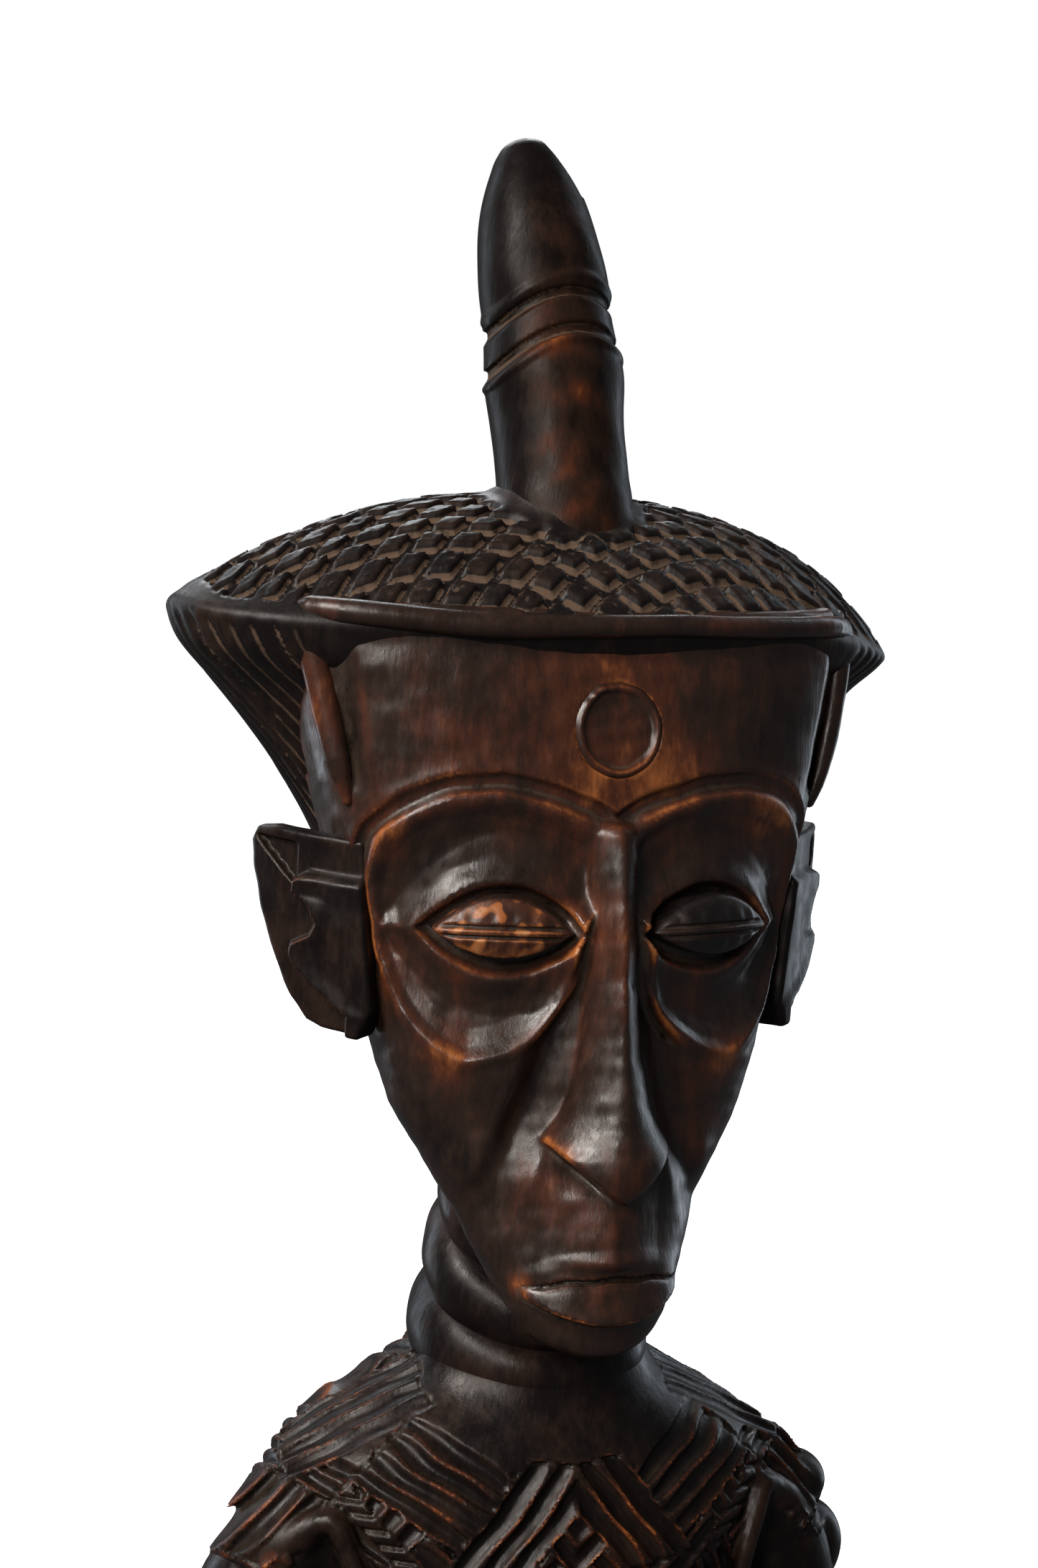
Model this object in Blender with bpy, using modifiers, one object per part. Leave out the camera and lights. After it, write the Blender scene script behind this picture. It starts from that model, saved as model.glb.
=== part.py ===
"""A carved hardwood fertility doll: a standing woman with a long face, ringed neck, broad
lens-shaped coiffure and tall topknot, on a round plinth. She faces -Y, +Z is up and the origin
is the centre of the plinth's underside. Every carved element is a solid of its own, and
elements that meet are cut back from each other by CLEARANCE."""

import math

import bmesh
import bpy
from mathutils import Matrix, Vector

MM = 0.001

# Driving heights above the plinth's underside.
PLINTH_TOP = 17 * MM
CROTCH = 104 * MM
SHOULDER = 224 * MM
CHIN = 238 * MM
RIM = 341 * MM
TOPKNOT_FOOT = 361 * MM
TOPKNOT_TIP = 417 * MM

# Driving widths, depths and radii.
PLINTH_RADIUS = 62 * MM
COIFFURE_HALF_WIDTH = 60.5 * MM
COIFFURE_MIDDLE_Y = 14 * MM
RIM_SAG = 4.5 * MM
NECK_RADIUS = 19.3 * MM
EYE_CENTRE = Vector((17.5, -21.5, 299.5)) * MM
DISC_CENTRE = Vector((0.5, -18.5, 329.5)) * MM
DISC_RADIUS = 7.4 * MM
BEAD_RADIUS = 1.9 * MM

CLEARANCE = 0.35 * MM
MERGE = 0.00005
SIDES = 28

WOOD = {
    "stained_wood": ((0.040, 0.020, 0.012), 0.42),
    "coiffure_wood": ((0.030, 0.017, 0.011), 0.55),
    "worn_wood": ((0.105, 0.042, 0.018), 0.40),
    "plinth_wood": ((0.034, 0.018, 0.011), 0.50),
}


def clear_scene():
    for obj in list(bpy.data.objects):
        bpy.data.objects.remove(obj, do_unlink=True)


def collection(name):
    made = bpy.data.collections.new(name)
    bpy.context.scene.collection.children.link(made)
    return made


clear_scene()
PARTS = collection("fertility_doll")
CUTTERS = collection("cutters")


def wood(name):
    """One Principled material for each finish of the wood."""
    found = bpy.data.materials.get(name)
    if found:
        return found
    colour, roughness = WOOD[name]
    made = bpy.data.materials.new(name)
    made.use_nodes = True
    shader = made.node_tree.nodes["Principled BSDF"]
    shader.inputs["Base Color"].default_value = (*colour, 1)
    shader.inputs["Roughness"].default_value = roughness
    shader.inputs["Metallic"].default_value = 0
    return made


def add_part(name, mesh, finish="stained_wood"):
    obj = bpy.data.objects.new(name, mesh)
    PARTS.objects.link(obj)
    mesh.materials.clear()
    mesh.materials.append(wood(finish))
    mesh.shade_smooth()
    mesh.set_sharp_from_angle(angle=math.radians(40))
    return obj


def mesh_from(name, fill):
    """A mesh named name, made by fill(bm), with its points welded and faces pointing out."""
    bm = bmesh.new()
    fill(bm)
    bmesh.ops.remove_doubles(bm, verts=bm.verts, dist=MERGE)
    bmesh.ops.recalc_face_normals(bm, faces=bm.faces)
    mesh = bpy.data.meshes.new(name)
    bm.to_mesh(mesh)
    bm.free()
    return mesh


def smooth_between(keys, steps):
    """Rows of numbers read from a smooth curve through keys, steps for each stretch."""
    rows = []
    for i in range(len(keys) - 1):
        before = keys[max(i - 1, 0)]
        start, end = keys[i], keys[i + 1]
        after = keys[min(i + 2, len(keys) - 1)]
        for step in range(steps):
            t = step / steps
            rows.append(
                [
                    b + 0.5 * t * (c - a + t * (2 * a - 5 * b + 4 * c - d + t * (3 * (b - c) + d - a)))
                    for a, b, c, d in zip(before, start, end, after)
                ]
            )
    rows.append(list(keys[-1]))
    return rows


def superellipse(angle, power):
    """The unit superellipse's point at an angle: 2 is an ellipse, and more is boxier."""
    c, s = math.cos(angle), math.sin(angle)
    return (
        math.copysign(abs(c) ** (2 / power), c),
        math.copysign(abs(s) ** (2 / power), s),
    )


def loft(name, keys, finish="stained_wood", steps=2, power=2.0):
    """A closed form through level sections. A key is (height, half width, front y, middle y,
    back y) in millimetres, where middle y is where the section is widest."""

    def fill(bm):
        rings = []
        for z, half, front, middle, back in smooth_between(keys, steps):
            ring = []
            for i in range(SIDES):
                x, y = superellipse(2 * math.pi * i / SIDES, power)
                depth = (back - middle) if y > 0 else (middle - front)
                ring.append(bm.verts.new(Vector((half * x, middle + depth * y, z)) * MM))
            rings.append(ring)
        for low, high in zip(rings, rings[1:]):
            for i in range(SIDES):
                j = (i + 1) % SIDES
                bm.faces.new((low[i], low[j], high[j], high[i]))
        bm.faces.new(rings[0])
        bm.faces.new(rings[-1])

    return add_part(name, mesh_from(name, fill), finish)


def turned(name, profile, matrix, finish="stained_wood", steps=36):
    """A turned solid from a profile of (radius, height) in millimetres, listed from the top
    down, whose axis is the matrix's Z."""

    def fill(bm):
        points = [bm.verts.new(Vector((r, 0, z)) * MM) for r, z in profile]
        for a, b in zip(points, points[1:]):
            bm.edges.new((a, b))

    outline = bpy.data.meshes.new(name)
    bm = bmesh.new()
    fill(bm)
    bm.to_mesh(outline)
    bm.free()
    obj = add_part(name, outline, finish)
    obj.matrix_world = matrix
    screw = obj.modifiers.new("turning", "SCREW")
    screw.steps = screw.render_steps = steps
    screw.use_merge_vertices = True
    screw.merge_threshold = MERGE
    return obj


def limb(name, points, finish="stained_wood", resolution=4):
    """A rounded limb along points of (x, y, z, radius) in millimetres."""
    curve = bpy.data.curves.new(name, "CURVE")
    curve.dimensions = "3D"
    curve.bevel_depth = 1.0
    curve.bevel_resolution = resolution
    curve.use_fill_caps = True
    rows = smooth_between(points, 4)
    spline = curve.splines.new("POLY")
    spline.points.add(len(rows) - 1)
    for point, (x, y, z, radius) in zip(spline.points, rows):
        point.co = (x * MM, y * MM, z * MM, 1)
        point.radius = radius * MM
    return as_mesh(name, curve, finish)


def as_mesh(name, curve, finish):
    """The solid that a curve makes, as a welded mesh part. The curve is removed."""
    source = bpy.data.objects.new(name + "_curve", curve)
    PARTS.objects.link(source)
    bpy.context.view_layer.update()
    graph = bpy.context.evaluated_depsgraph_get()
    mesh = bpy.data.meshes.new_from_object(source.evaluated_get(graph))
    mesh.name = name
    bm = bmesh.new()
    bm.from_mesh(mesh)
    bmesh.ops.remove_doubles(bm, verts=bm.verts, dist=MERGE)
    bmesh.ops.recalc_face_normals(bm, faces=bm.faces)
    bm.to_mesh(mesh)
    bm.free()
    obj = add_part(name, mesh, finish)
    obj.matrix_world = source.matrix_world
    bpy.data.objects.remove(source)
    return obj


def ball(name, centre, radii, finish="stained_wood", rotation=None, segments=24, rings=14):
    """An ellipsoid with its radii in metres."""

    def fill(bm):
        bmesh.ops.create_uvsphere(bm, u_segments=segments, v_segments=rings, radius=1)
        bmesh.ops.scale(bm, vec=radii, verts=bm.verts)

    obj = add_part(name, mesh_from(name, fill), finish)
    turn = rotation or Matrix.Identity(4)
    obj.matrix_world = Matrix.Translation(centre) @ turn
    return obj


def aimed(centre, direction):
    """A matrix at centre whose Z points along direction."""
    turn = Vector(direction).to_track_quat("Z", "Y").to_matrix().to_4x4()
    return Matrix.Translation(centre) @ turn


def applied(obj):
    """Replaces obj's mesh with its evaluated one, in world space."""
    bpy.context.view_layer.update()
    graph = bpy.context.evaluated_depsgraph_get()
    mesh = bpy.data.meshes.new_from_object(obj.evaluated_get(graph))
    mesh.transform(obj.matrix_world)
    obj.modifiers.clear()
    obj.data = mesh
    obj.matrix_world = Matrix.Identity(4)
    return obj


def boolean(host, cutter, operation):
    cut = host.modifiers.new(cutter.name, "BOOLEAN")
    cut.operation = operation
    cut.object = cutter
    applied(host)


def join(host, extra):
    """Makes extra part of host's one solid."""
    boolean(host, extra, "UNION")
    bpy.data.objects.remove(extra)


def grown_copy(obj):
    """A helper in the shape of obj, CLEARANCE larger all over."""
    helper = bpy.data.objects.new(obj.name + "_room", obj.data.copy())
    CUTTERS.objects.link(helper)
    helper.matrix_world = obj.matrix_world
    swell = helper.modifiers.new("clearance", "DISPLACE")
    swell.strength = CLEARANCE
    swell.mid_level = 0
    applied(helper)
    helper.hide_render = True
    helper.display_type = "WIRE"
    return helper


def make_room(host, *guests):
    """Cuts host back from each guest, leaving CLEARANCE between them."""
    for guest in guests:
        helper = grown_copy(guest)
        boolean(host, helper, "DIFFERENCE")
        bpy.data.objects.remove(helper)


def mirrored(obj, name):
    """obj's twin on the other side of the plane of symmetry."""
    mesh = obj.data.copy()
    mesh.transform(Matrix.Scale(-1, 4, (1, 0, 0)))
    mesh.flip_normals()
    twin = bpy.data.objects.new(name, mesh)
    PARTS.objects.link(twin)
    return twin


def pair(build, stem):
    """Both sides' copies of a part: build makes the one at +X, her left."""
    left = applied(build(stem + "_left"))
    return left, mirrored(left, stem + "_right")


# ---------------------------------------------------------------- plinth, legs and feet


def make_plinth():
    top, rim = PLINTH_TOP / MM, PLINTH_RADIUS / MM
    profile = [(0, top), (rim - 8, top), (rim - 3, top - 2), (rim, top - 6), (rim, 3), (rim - 2, 0), (0, 0)]
    return applied(turned("plinth", profile, Matrix.Identity(4), "plinth_wood", steps=48))


def make_foot(name):
    """A broad flat foot: a coarse block, rounded by subdivision, with its sole trimmed level."""
    sole = PLINTH_TOP / MM

    def fill(bm):
        bmesh.ops.create_cube(bm, size=1)
        bmesh.ops.subdivide_edges(bm, edges=bm.edges, cuts=1, use_grid_fill=True)
        bmesh.ops.scale(bm, vec=Vector((25, 54, 22)) * MM, verts=bm.verts)
        for v in bm.verts:
            toe = v.co.y < -0.001
            v.co.z *= 0.55 if toe and v.co.z > 0 else 1
            v.co.x *= 1.12 if toe else 0.85
        bmesh.ops.translate(bm, vec=Vector((19, -8, sole + 8)) * MM, verts=bm.verts)

    obj = add_part(name, mesh_from(name, fill))
    round_off = obj.modifiers.new("round", "SUBSURF")
    round_off.levels = round_off.render_levels = 2
    applied(obj)
    bm = bmesh.new()
    bm.from_mesh(obj.data)
    level = PLINTH_TOP + CLEARANCE
    bmesh.ops.bisect_plane(
        bm, geom=[*bm.verts, *bm.edges, *bm.faces], plane_co=(0, 0, level), plane_no=(0, 0, -1), clear_outer=True
    )
    bmesh.ops.holes_fill(bm, edges=[e for e in bm.edges if e.is_boundary])
    bm.to_mesh(obj.data)
    bm.free()
    return obj


def make_leg(name):
    """Short, bent and sturdy: thigh, knee, calf and ankle in one limb."""
    points = [
        (18, 4, 112, 15),
        (20, -2, 92, 15.5),
        (20.5, -9, 72, 11.5),
        (20, 0, 54, 12.5),
        (19, 4, 38, 9),
        (19, 4, 29, 9),
    ]
    return limb(name, points)


# ---------------------------------------------------------------- trunk


def make_hips():
    keys = [
        (CROTCH / MM - 4, 30, -16, 6, 26),
        (110, 37, -24, 6, 34),
        (117, 38, -29, 4, 33),
        (126, 36.5, -32, 3, 27),
    ]
    return loft("hips", keys)


def make_torso():
    keys = [
        (126.4, 35.5, -33, 2, 25),
        (136, 34.5, -41, 0, 21),
        (147, 33.5, -43, -1, 20),
        (160, 31.5, -36, -1, 20),
        (176, 33.5, -28, 0, 22),
        (190, 37, -27, 0, 24),
        (202, 42.5, -27, 0, 24),
        (212, 41, -25, 0, 22.5),
        (219, 33, -22, 1, 20.5),
        (SHOULDER / MM, 20, -17, 2, 17.5),
    ]
    return loft("torso", keys)


def make_breast(name):
    """A pointed cone, turned, hanging a little outwards and down."""
    profile = [(0, 21), (2.6, 20.2), (4.2, 17.5), (7.5, 12), (10.6, 6), (11.5, 0), (10.5, -4), (0, -4)]
    place = aimed(Vector((17, -23, 184)) * MM, (0.16, -0.93, -0.33))
    return turned(name, profile, place, steps=24)


def make_navel():
    profile = [(0, 6.5), (2.6, 5.8), (4.2, 3.6), (4.6, 0), (4.6, -3), (0, -3)]
    return applied(turned("navel", profile, aimed(Vector((0, -41, 145)) * MM, (0, -1, 0)), steps=24))


# ---------------------------------------------------------------- arms


def make_upper_arm(name):
    points = [(39, -4, 211, 4.5), (41.5, -4, 206, 8.6), (44.5, -5, 194, 10), (47, -4, 179, 9.4), (47.5, -1, 163, 8.4), (47, 1, 152, 8.6)]
    return limb(name, points)


def make_forearm(name):
    points = [(47, -1, 149, 8.2), (45, -12, 146, 8), (41, -26, 145, 6.8), (37, -35, 145, 5.6)]
    return limb(name, points)


def make_hand(name):
    """A flat hand laid on the side of the belly, with its four fingers as one paddle."""
    turn = Matrix.Rotation(math.radians(-34), 4, "Z")
    return ball(name, Vector((26, -41.5, 145)) * MM, Vector((11.5, 4.4, 7.6)) * MM, rotation=turn, rings=12)


# ---------------------------------------------------------------- neck and head


def make_neck_ring(name, y, z, lean, radius, height):
    """A barrel-shaped roll of the neck centred at (y, z) in millimetres, leaning forward by
    lean degrees."""
    half = height / 2
    steps = 5
    profile = [(0, half)]
    for i in range(steps + 1):
        turn = math.pi * (0.5 - i / steps)
        bulge = radius - 2.6 * (1 - math.cos(turn))
        profile.append((bulge, half * math.sin(turn)))
    profile.append((0, -half))
    angle = math.radians(lean)
    place = aimed(Vector((0, y, z)) * MM, (0, -math.sin(angle), math.cos(angle)))
    return applied(turned(name, profile, place, steps=32))


def make_skull():
    keys = [
        (CHIN / MM, 6, -32, -26, -18),
        (243, 12, -33.5, -22, -11),
        (250, 16, -32.5, -18, -6),
        (262, 20.5, -28, -12, 3),
        (277, 26.5, -25.5, -7, 16),
        (297, 32.5, -22.5, -1, 28),
        (317, 37, -19.5, 2, 34),
        (335, 41.5, -16.8, 5, 34),
        (344, 42, -14.5, 6, 30),
    ]
    return loft("head", keys, power=2.25)


def make_nose():
    """A long straight wedge, narrow at the bridge and flared at the wings."""
    keys = [
        (262.5, 6, -32, -26, -20),
        (265.5, 9.5, -36, -27, -20),
        (269, 10.5, -36.5, -27, -20),
        (278, 6.5, -33, -25, -18),
        (295, 4.2, -29, -23, -16),
        (313, 5, -24, -20, -14),
    ]
    return loft("nose", keys, steps=1, power=1.6)


def make_lip(name, z, drop):
    keys = [(z - drop, 9, -33, -26, -18), (z, 14, -37.5, -24, -16), (z + 3, 9, -34.5, -26, -18)]
    return loft(name, keys, steps=1, power=1.7)


def make_socket(name):
    """The helper that hollows an eye socket: a shallow bowl on the side of the face."""
    turn = Matrix.Rotation(math.radians(26), 4, "Z")
    return ball(name, Vector((22.5, -31, 297.5)) * MM, Vector((21, 16, 21)) * MM, rotation=turn, segments=28)


def make_eye(name):
    """A coffee-bean eye in its socket: a long bulge with a level slit cut across it."""
    turn = Matrix.Rotation(math.radians(24), 4, "Z")
    centre = EYE_CENTRE + Vector((1.5, 7, 0)) * MM
    eye = ball(name, centre, Vector((13.5, 9.5, 9)) * MM, "worn_wood", turn)
    slit_centre = centre + turn @ (Vector((0, -9.5, 0)) * MM)
    slit = ball("slit", slit_centre, Vector((12, 2.5, 0.9)) * MM, rotation=turn, segments=12, rings=6)
    boolean(eye, slit, "DIFFERENCE")
    bpy.data.objects.remove(slit)
    return eye


def make_ear(name):
    """A flat, four-cornered ear standing off the side of the head."""
    curve = bpy.data.curves.new(name, "CURVE")
    curve.dimensions = "2D"
    curve.fill_mode = "BOTH"
    curve.extrude = 2.6 * MM
    corners = [(-8, 14), (11, 15.5), (14.8, 13.5), (14.4, 9), (9, -5), (5.5, -13), (1, -15.5), (-8, -15)]
    spline = curve.splines.new("POLY")
    spline.points.add(len(corners) - 1)
    spline.use_cyclic_u = True
    for point, (x, y) in zip(spline.points, corners):
        point.co = (x * MM, y * MM, 0, 1)
    obj = as_mesh(name, curve, "stained_wood")
    upright = Matrix.Rotation(math.radians(90), 4, "X")
    sweep = Matrix.Rotation(math.radians(28), 4, "Z")
    lean = Matrix.Rotation(math.radians(-6), 4, "X")
    place = Matrix.Translation(Vector((35, 4, 295)) * MM) @ sweep @ lean @ upright
    obj.data.transform(place)
    edge = obj.modifiers.new("edge", "BEVEL")
    edge.width = 1.0 * MM
    edge.segments = 2
    edge.limit_method = "ANGLE"
    return obj


def make_disc():
    profile = [(0, 1.4), (5.2, 1.4), (6.6, 2.2), (7.4, 1.4), (7.4, -2.5), (0, -2.5)]
    place = aimed(DISC_CENTRE, (0, -0.985, 0.17))
    return applied(turned("forehead_disc", profile, place, "worn_wood", steps=32))


# ---------------------------------------------------------------- coiffure


def make_coiffure():
    """The whole mass of hair: a tapering back and sides under a broad sharp rim, and a low
    dome. The rim sags a little towards her left, as a hand-carved one does."""
    half, middle = COIFFURE_HALF_WIDTH / MM, COIFFURE_MIDDLE_Y / MM
    keys = [
        (270, 20, 6, 16, 27),
        (290, 29, 3, 17, 38),
        (308, 36, 0, 17, 42),
        (322, 43, -5, 16, 45),
        (332, 51.5, -10, middle + 1, 47.5),
        (338, 58, -14, middle, 48.5),
        (RIM / MM, half, -16, middle, 48),
        (344.5, 57.5, -16.5, middle, 45),
        (350, 45, -14, 12, 37),
        (356, 29, -8, 11, 27),
        (TOPKNOT_FOOT / MM, 13, 0, 10.5, 19.5),
    ]
    obj = loft("coiffure", keys, "coiffure_wood")
    for v in obj.data.vertices:
        reach = max(v.co.x, 0) / COIFFURE_HALF_WIDTH
        v.co.z -= RIM_SAG * reach**2
        v.co.x -= 1.5 * MM * reach**2
    return obj


def make_hairline():
    """One bead that frames the forehead: up each temple and across under the rim."""
    right_side = [
        (-39.5, -6.5, 317, 1.0),
        (-42, -6.2, 326, BEAD_RADIUS / MM),
        (-45.2, -5.5, 341.5, BEAD_RADIUS / MM),
        (-38, -10.5, 344, BEAD_RADIUS / MM),
        (-20, -16.3, 343.5, BEAD_RADIUS / MM),
    ]
    left_side = [(-x, y, z, radius) for x, y, z, radius in reversed(right_side)]
    return limb("hairline_bead", [*right_side, (0, -18, 343, BEAD_RADIUS / MM), *left_side], resolution=2)


def make_topknot():
    """A horn-like knot of hair with two grooves round its middle and a blunt bullet tip."""
    foot = Vector((0, 9.5 * MM, TOPKNOT_FOOT + 0.0004))
    tip = Vector((-3 * MM, 27.5 * MM, TOPKNOT_TIP))
    length = (tip - foot).length / MM
    profile = [
        (0, length),
        (2.2, length - 0.6),
        (5.0, length - 5),
        (8.0, length - 13),
        (9.6, length - 21),
        (9.9, 34),
        (9.0, 32.6),
        (9.8, 31.2),
        (9.9, 27.2),
        (9.0, 25.8),
        (9.9, 24.2),
        (10.5, 16),
        (10.3, 4),
        (10.8, -2),
        (0, -2),
    ]
    return applied(turned("topknot", profile, aimed(foot, tip - foot), steps=32))


# ---------------------------------------------------------------- assembly


def build_head():
    head = make_skull()
    join(head, make_nose())
    for name, z, drop in (("upper_lip", 251.5, 3.5), ("lower_lip", 245.5, 4.5)):
        join(head, make_lip(name, z, drop))
    for socket in pair(make_socket, "socket"):
        boolean(head, socket, "DIFFERENCE")
        bpy.data.objects.remove(socket)
    return head


def main():
    plinth = make_plinth()
    feet = pair(make_foot, "foot")
    legs = pair(make_leg, "leg")
    hips = make_hips()
    torso = make_torso()
    breasts = pair(make_breast, "breast")
    navel = make_navel()
    upper_arms = pair(make_upper_arm, "upper_arm")
    forearms = pair(make_forearm, "forearm")
    hands = pair(make_hand, "hand")
    rings = [
        make_neck_ring("neck_ring_lower", 0.5, 229.5, 22, NECK_RADIUS / MM, 14),
        make_neck_ring("neck_ring_middle", -0.5, 241.5, 36, NECK_RADIUS / MM - 1.3, 11),
        make_neck_ring("neck_ring_upper", -3, 251.5, 40, NECK_RADIUS / MM - 2.4, 10),
    ]
    head = build_head()
    eyes = pair(make_eye, "eye")
    ears = pair(make_ear, "ear")
    disc = make_disc()
    coiffure = make_coiffure()
    hairline = make_hairline()
    topknot = make_topknot()

    make_room(head, disc, hairline)
    make_room(coiffure, hairline, head, topknot)
    for part in (*eyes, *ears):
        make_room(part, head)
    for ear in ears:
        make_room(ear, coiffure)
    make_room(rings[0], torso)
    make_room(rings[1], rings[0], torso)
    make_room(rings[2], rings[1], torso, head, coiffure)
    make_room(rings[1], head)
    make_room(torso, navel, *breasts)
    for side in range(2):
        make_room(legs[side], feet[side], hips)
        make_room(upper_arms[side], torso)
        make_room(forearms[side], upper_arms[side], torso)
        make_room(hands[side], torso, forearms[side])


main()
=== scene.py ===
"""Fertility doll, as seen: a dark, hand-carved hardwood figure. Each carved element is sculpted
as a signed-distance field in millimetres, meshed, and put in the place of its CAD solid. Her
left is +X, she faces -Y and +Z is up."""

import math

import bpy
import numpy as np
from mathutils import Matrix, Vector


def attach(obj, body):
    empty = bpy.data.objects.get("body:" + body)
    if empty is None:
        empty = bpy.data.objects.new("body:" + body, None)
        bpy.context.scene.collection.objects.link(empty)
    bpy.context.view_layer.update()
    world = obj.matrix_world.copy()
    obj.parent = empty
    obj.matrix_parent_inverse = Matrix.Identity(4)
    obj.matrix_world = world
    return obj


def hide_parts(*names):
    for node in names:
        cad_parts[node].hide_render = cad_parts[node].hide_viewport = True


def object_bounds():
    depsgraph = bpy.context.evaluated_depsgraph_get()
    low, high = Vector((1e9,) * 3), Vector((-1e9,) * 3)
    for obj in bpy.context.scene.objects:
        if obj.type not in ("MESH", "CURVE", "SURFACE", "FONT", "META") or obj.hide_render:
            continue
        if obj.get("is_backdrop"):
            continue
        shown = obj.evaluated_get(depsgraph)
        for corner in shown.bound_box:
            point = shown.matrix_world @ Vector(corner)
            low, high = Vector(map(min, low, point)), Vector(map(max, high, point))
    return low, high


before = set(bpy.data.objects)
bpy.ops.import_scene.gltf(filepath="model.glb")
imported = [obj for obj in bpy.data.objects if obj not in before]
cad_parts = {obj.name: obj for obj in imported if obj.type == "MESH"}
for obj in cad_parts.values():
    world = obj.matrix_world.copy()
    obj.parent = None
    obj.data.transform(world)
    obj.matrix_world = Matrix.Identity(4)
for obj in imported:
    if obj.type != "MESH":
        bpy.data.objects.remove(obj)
CAD_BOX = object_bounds()
MM = 0.001

# ---- distance-field helpers


def blend(a, b, k):
    """The union of a and b, filleted over k millimetres."""
    h = np.clip(0.5 + 0.5 * (b - a) / k, 0, 1)
    return b + (a - b) * h - k * h * (1 - h)


def common(a, b, k):
    """The part that a and b share, rounded over k millimetres."""
    return -blend(-a, -b, k)


def cut(a, b, k):
    """a with b taken away."""
    return common(a, -b, k)


def ramp(low, high, value):
    """0 below low, 1 above high, and smooth between."""
    t = np.clip((value - low) / (high - low), 0, 1)
    return t * t * (3 - 2 * t)


def bump(value, centre, half):
    """A smooth hill of height 1 that is half wide on each side of centre."""
    t = np.clip(1 - np.abs(value - centre) / half, 0, 1)
    return t * t * (3 - 2 * t)


def waver(p, size, seed):
    """A smooth pattern between about -1 and 1, as of an unsteady hand, size across."""
    x, y, z = p
    k = 2 * math.pi / size
    total = 0
    for i in range(4):
        a = 2.4 * i + 1.7 * seed
        b = 1.1 * i + 0.9 * seed
        dx, dy, dz = math.cos(a) * math.cos(b), math.sin(a) * math.cos(b), math.sin(b)
        freq = k * (0.8 + 0.23 * i)
        total = total + np.sin((x * dx + y * dy + z * dz) * freq + 5.1 * seed + 2.3 * i)
    return total / 3.0


def jitter(number, seed):
    """A fixed pseudo-random value from 0 to 1 for each whole number."""
    v = np.sin(number * 12.9898 + seed * 78.233) * 43758.5453
    return v - np.floor(v)


def from_middle(lanes):
    """0 in the middle of each lane, one whole number wide, and 1 on the lines between."""
    return np.abs(lanes - np.floor(lanes) - 0.5) * 2


def hermite(a, b, slope_a, slope_b, t):
    """A smooth curve's value t of the way from a to b, with its slopes at both."""
    first = a * (2 * t**3 - 3 * t**2 + 1) + slope_a * (t**3 - 2 * t**2 + t)
    return first + b * (3 * t**2 - 2 * t**3) + slope_b * (t**3 - t**2)


def smooth_table(keys, step=0.5):
    """The rows of keys, whose first column rises, resampled every step on a smooth curve."""
    keys = np.array(keys, float)
    at = keys[:, 0]
    fine = np.arange(at[0], at[-1] + step / 2, step)
    slope = np.gradient(keys, at, axis=0)
    i = np.clip(np.searchsorted(at, fine, side="right") - 1, 0, len(at) - 2)
    span = (at[i + 1] - at[i])[:, None]
    t = ((fine - at[i]) / span[:, 0])[:, None]
    rows = hermite(keys[i], keys[i + 1], slope[i] * span, slope[i + 1] * span, t)
    rows[:, 0] = fine
    return rows


def columns(table, at):
    """What a smooth table's columns after the first hold at these values of its first."""
    return [np.interp(at, table[:, 0], column) for column in table[:, 1:].T]


def section(x, y, half, depth, n):
    """The distance from an oval, half wide and depth deep, that grows squarer with n."""
    reach = ((np.abs(x) / half + 1e-6) ** n + (np.abs(y) / depth + 1e-6) ** n) ** (1 / n)
    return np.hypot(x, y) * (1 - 1 / np.maximum(reach, 0.15))


def loft(keys, power=2.2, end=2.0):
    """A field for a form made of level sections. A key is (z, half width, front y, middle y,
    back y, and optionally the power of the front half's outline)."""
    table = smooth_table(keys)
    low, high = table[0, 0], table[-1, 0]

    def field(p):
        x, y, z = p
        half, front, mid, back, *squareness = columns(table, np.clip(z, low, high))
        ahead = y < mid
        depth = np.where(ahead, mid - front, back - mid)
        n = np.where(ahead, squareness[0], power) if squareness else power
        ends = np.maximum(low - z, z - high)
        return common(section(x, y - mid, half, depth, n), ends, end)

    return field


def mirror(p):
    """p moved to her left side, for what is the same on both."""
    return (np.abs(p[0]), p[1], p[2])


def rotated(p, centre, turn):
    """p in the frame at centre whose axes are the rows of turn."""
    d = [c - o for c, o in zip(p, centre)]
    return tuple(sum(row[i] * d[i] for i in range(3)) for row in turn)


def turn_z(degrees):
    c, s = math.cos(math.radians(degrees)), math.sin(math.radians(degrees))
    return ((c, s, 0), (-s, c, 0), (0, 0, 1))


def ellipsoid(p, centre, radii, turn=turn_z(0)):
    q = rotated(p, centre, turn)
    a = np.sqrt(sum((c / r) ** 2 for c, r in zip(q, radii)))
    b = np.sqrt(sum((c / r**2) ** 2 for c, r in zip(q, radii))) + 1e-6
    return a * (a - 1) / b


def tube(p, points, k=0.0):
    """A rounded tube through points of (x, y, z, radius)."""
    total = None
    for (*a, ra), (*b, rb) in zip(points, points[1:]):
        d = [j - i for i, j in zip(a, b)]
        q = [c - i for c, i in zip(p, a)]
        t = np.clip(sum(c * i for c, i in zip(q, d)) / sum(i * i for i in d), 0, 1)
        away = np.sqrt(sum((c - t * i) ** 2 for c, i in zip(q, d)))
        one = away - (ra + (rb - ra) * t)
        if total is None:
            total = one
        else:
            total = blend(total, one, k) if k else np.minimum(total, one)
    return total


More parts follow.
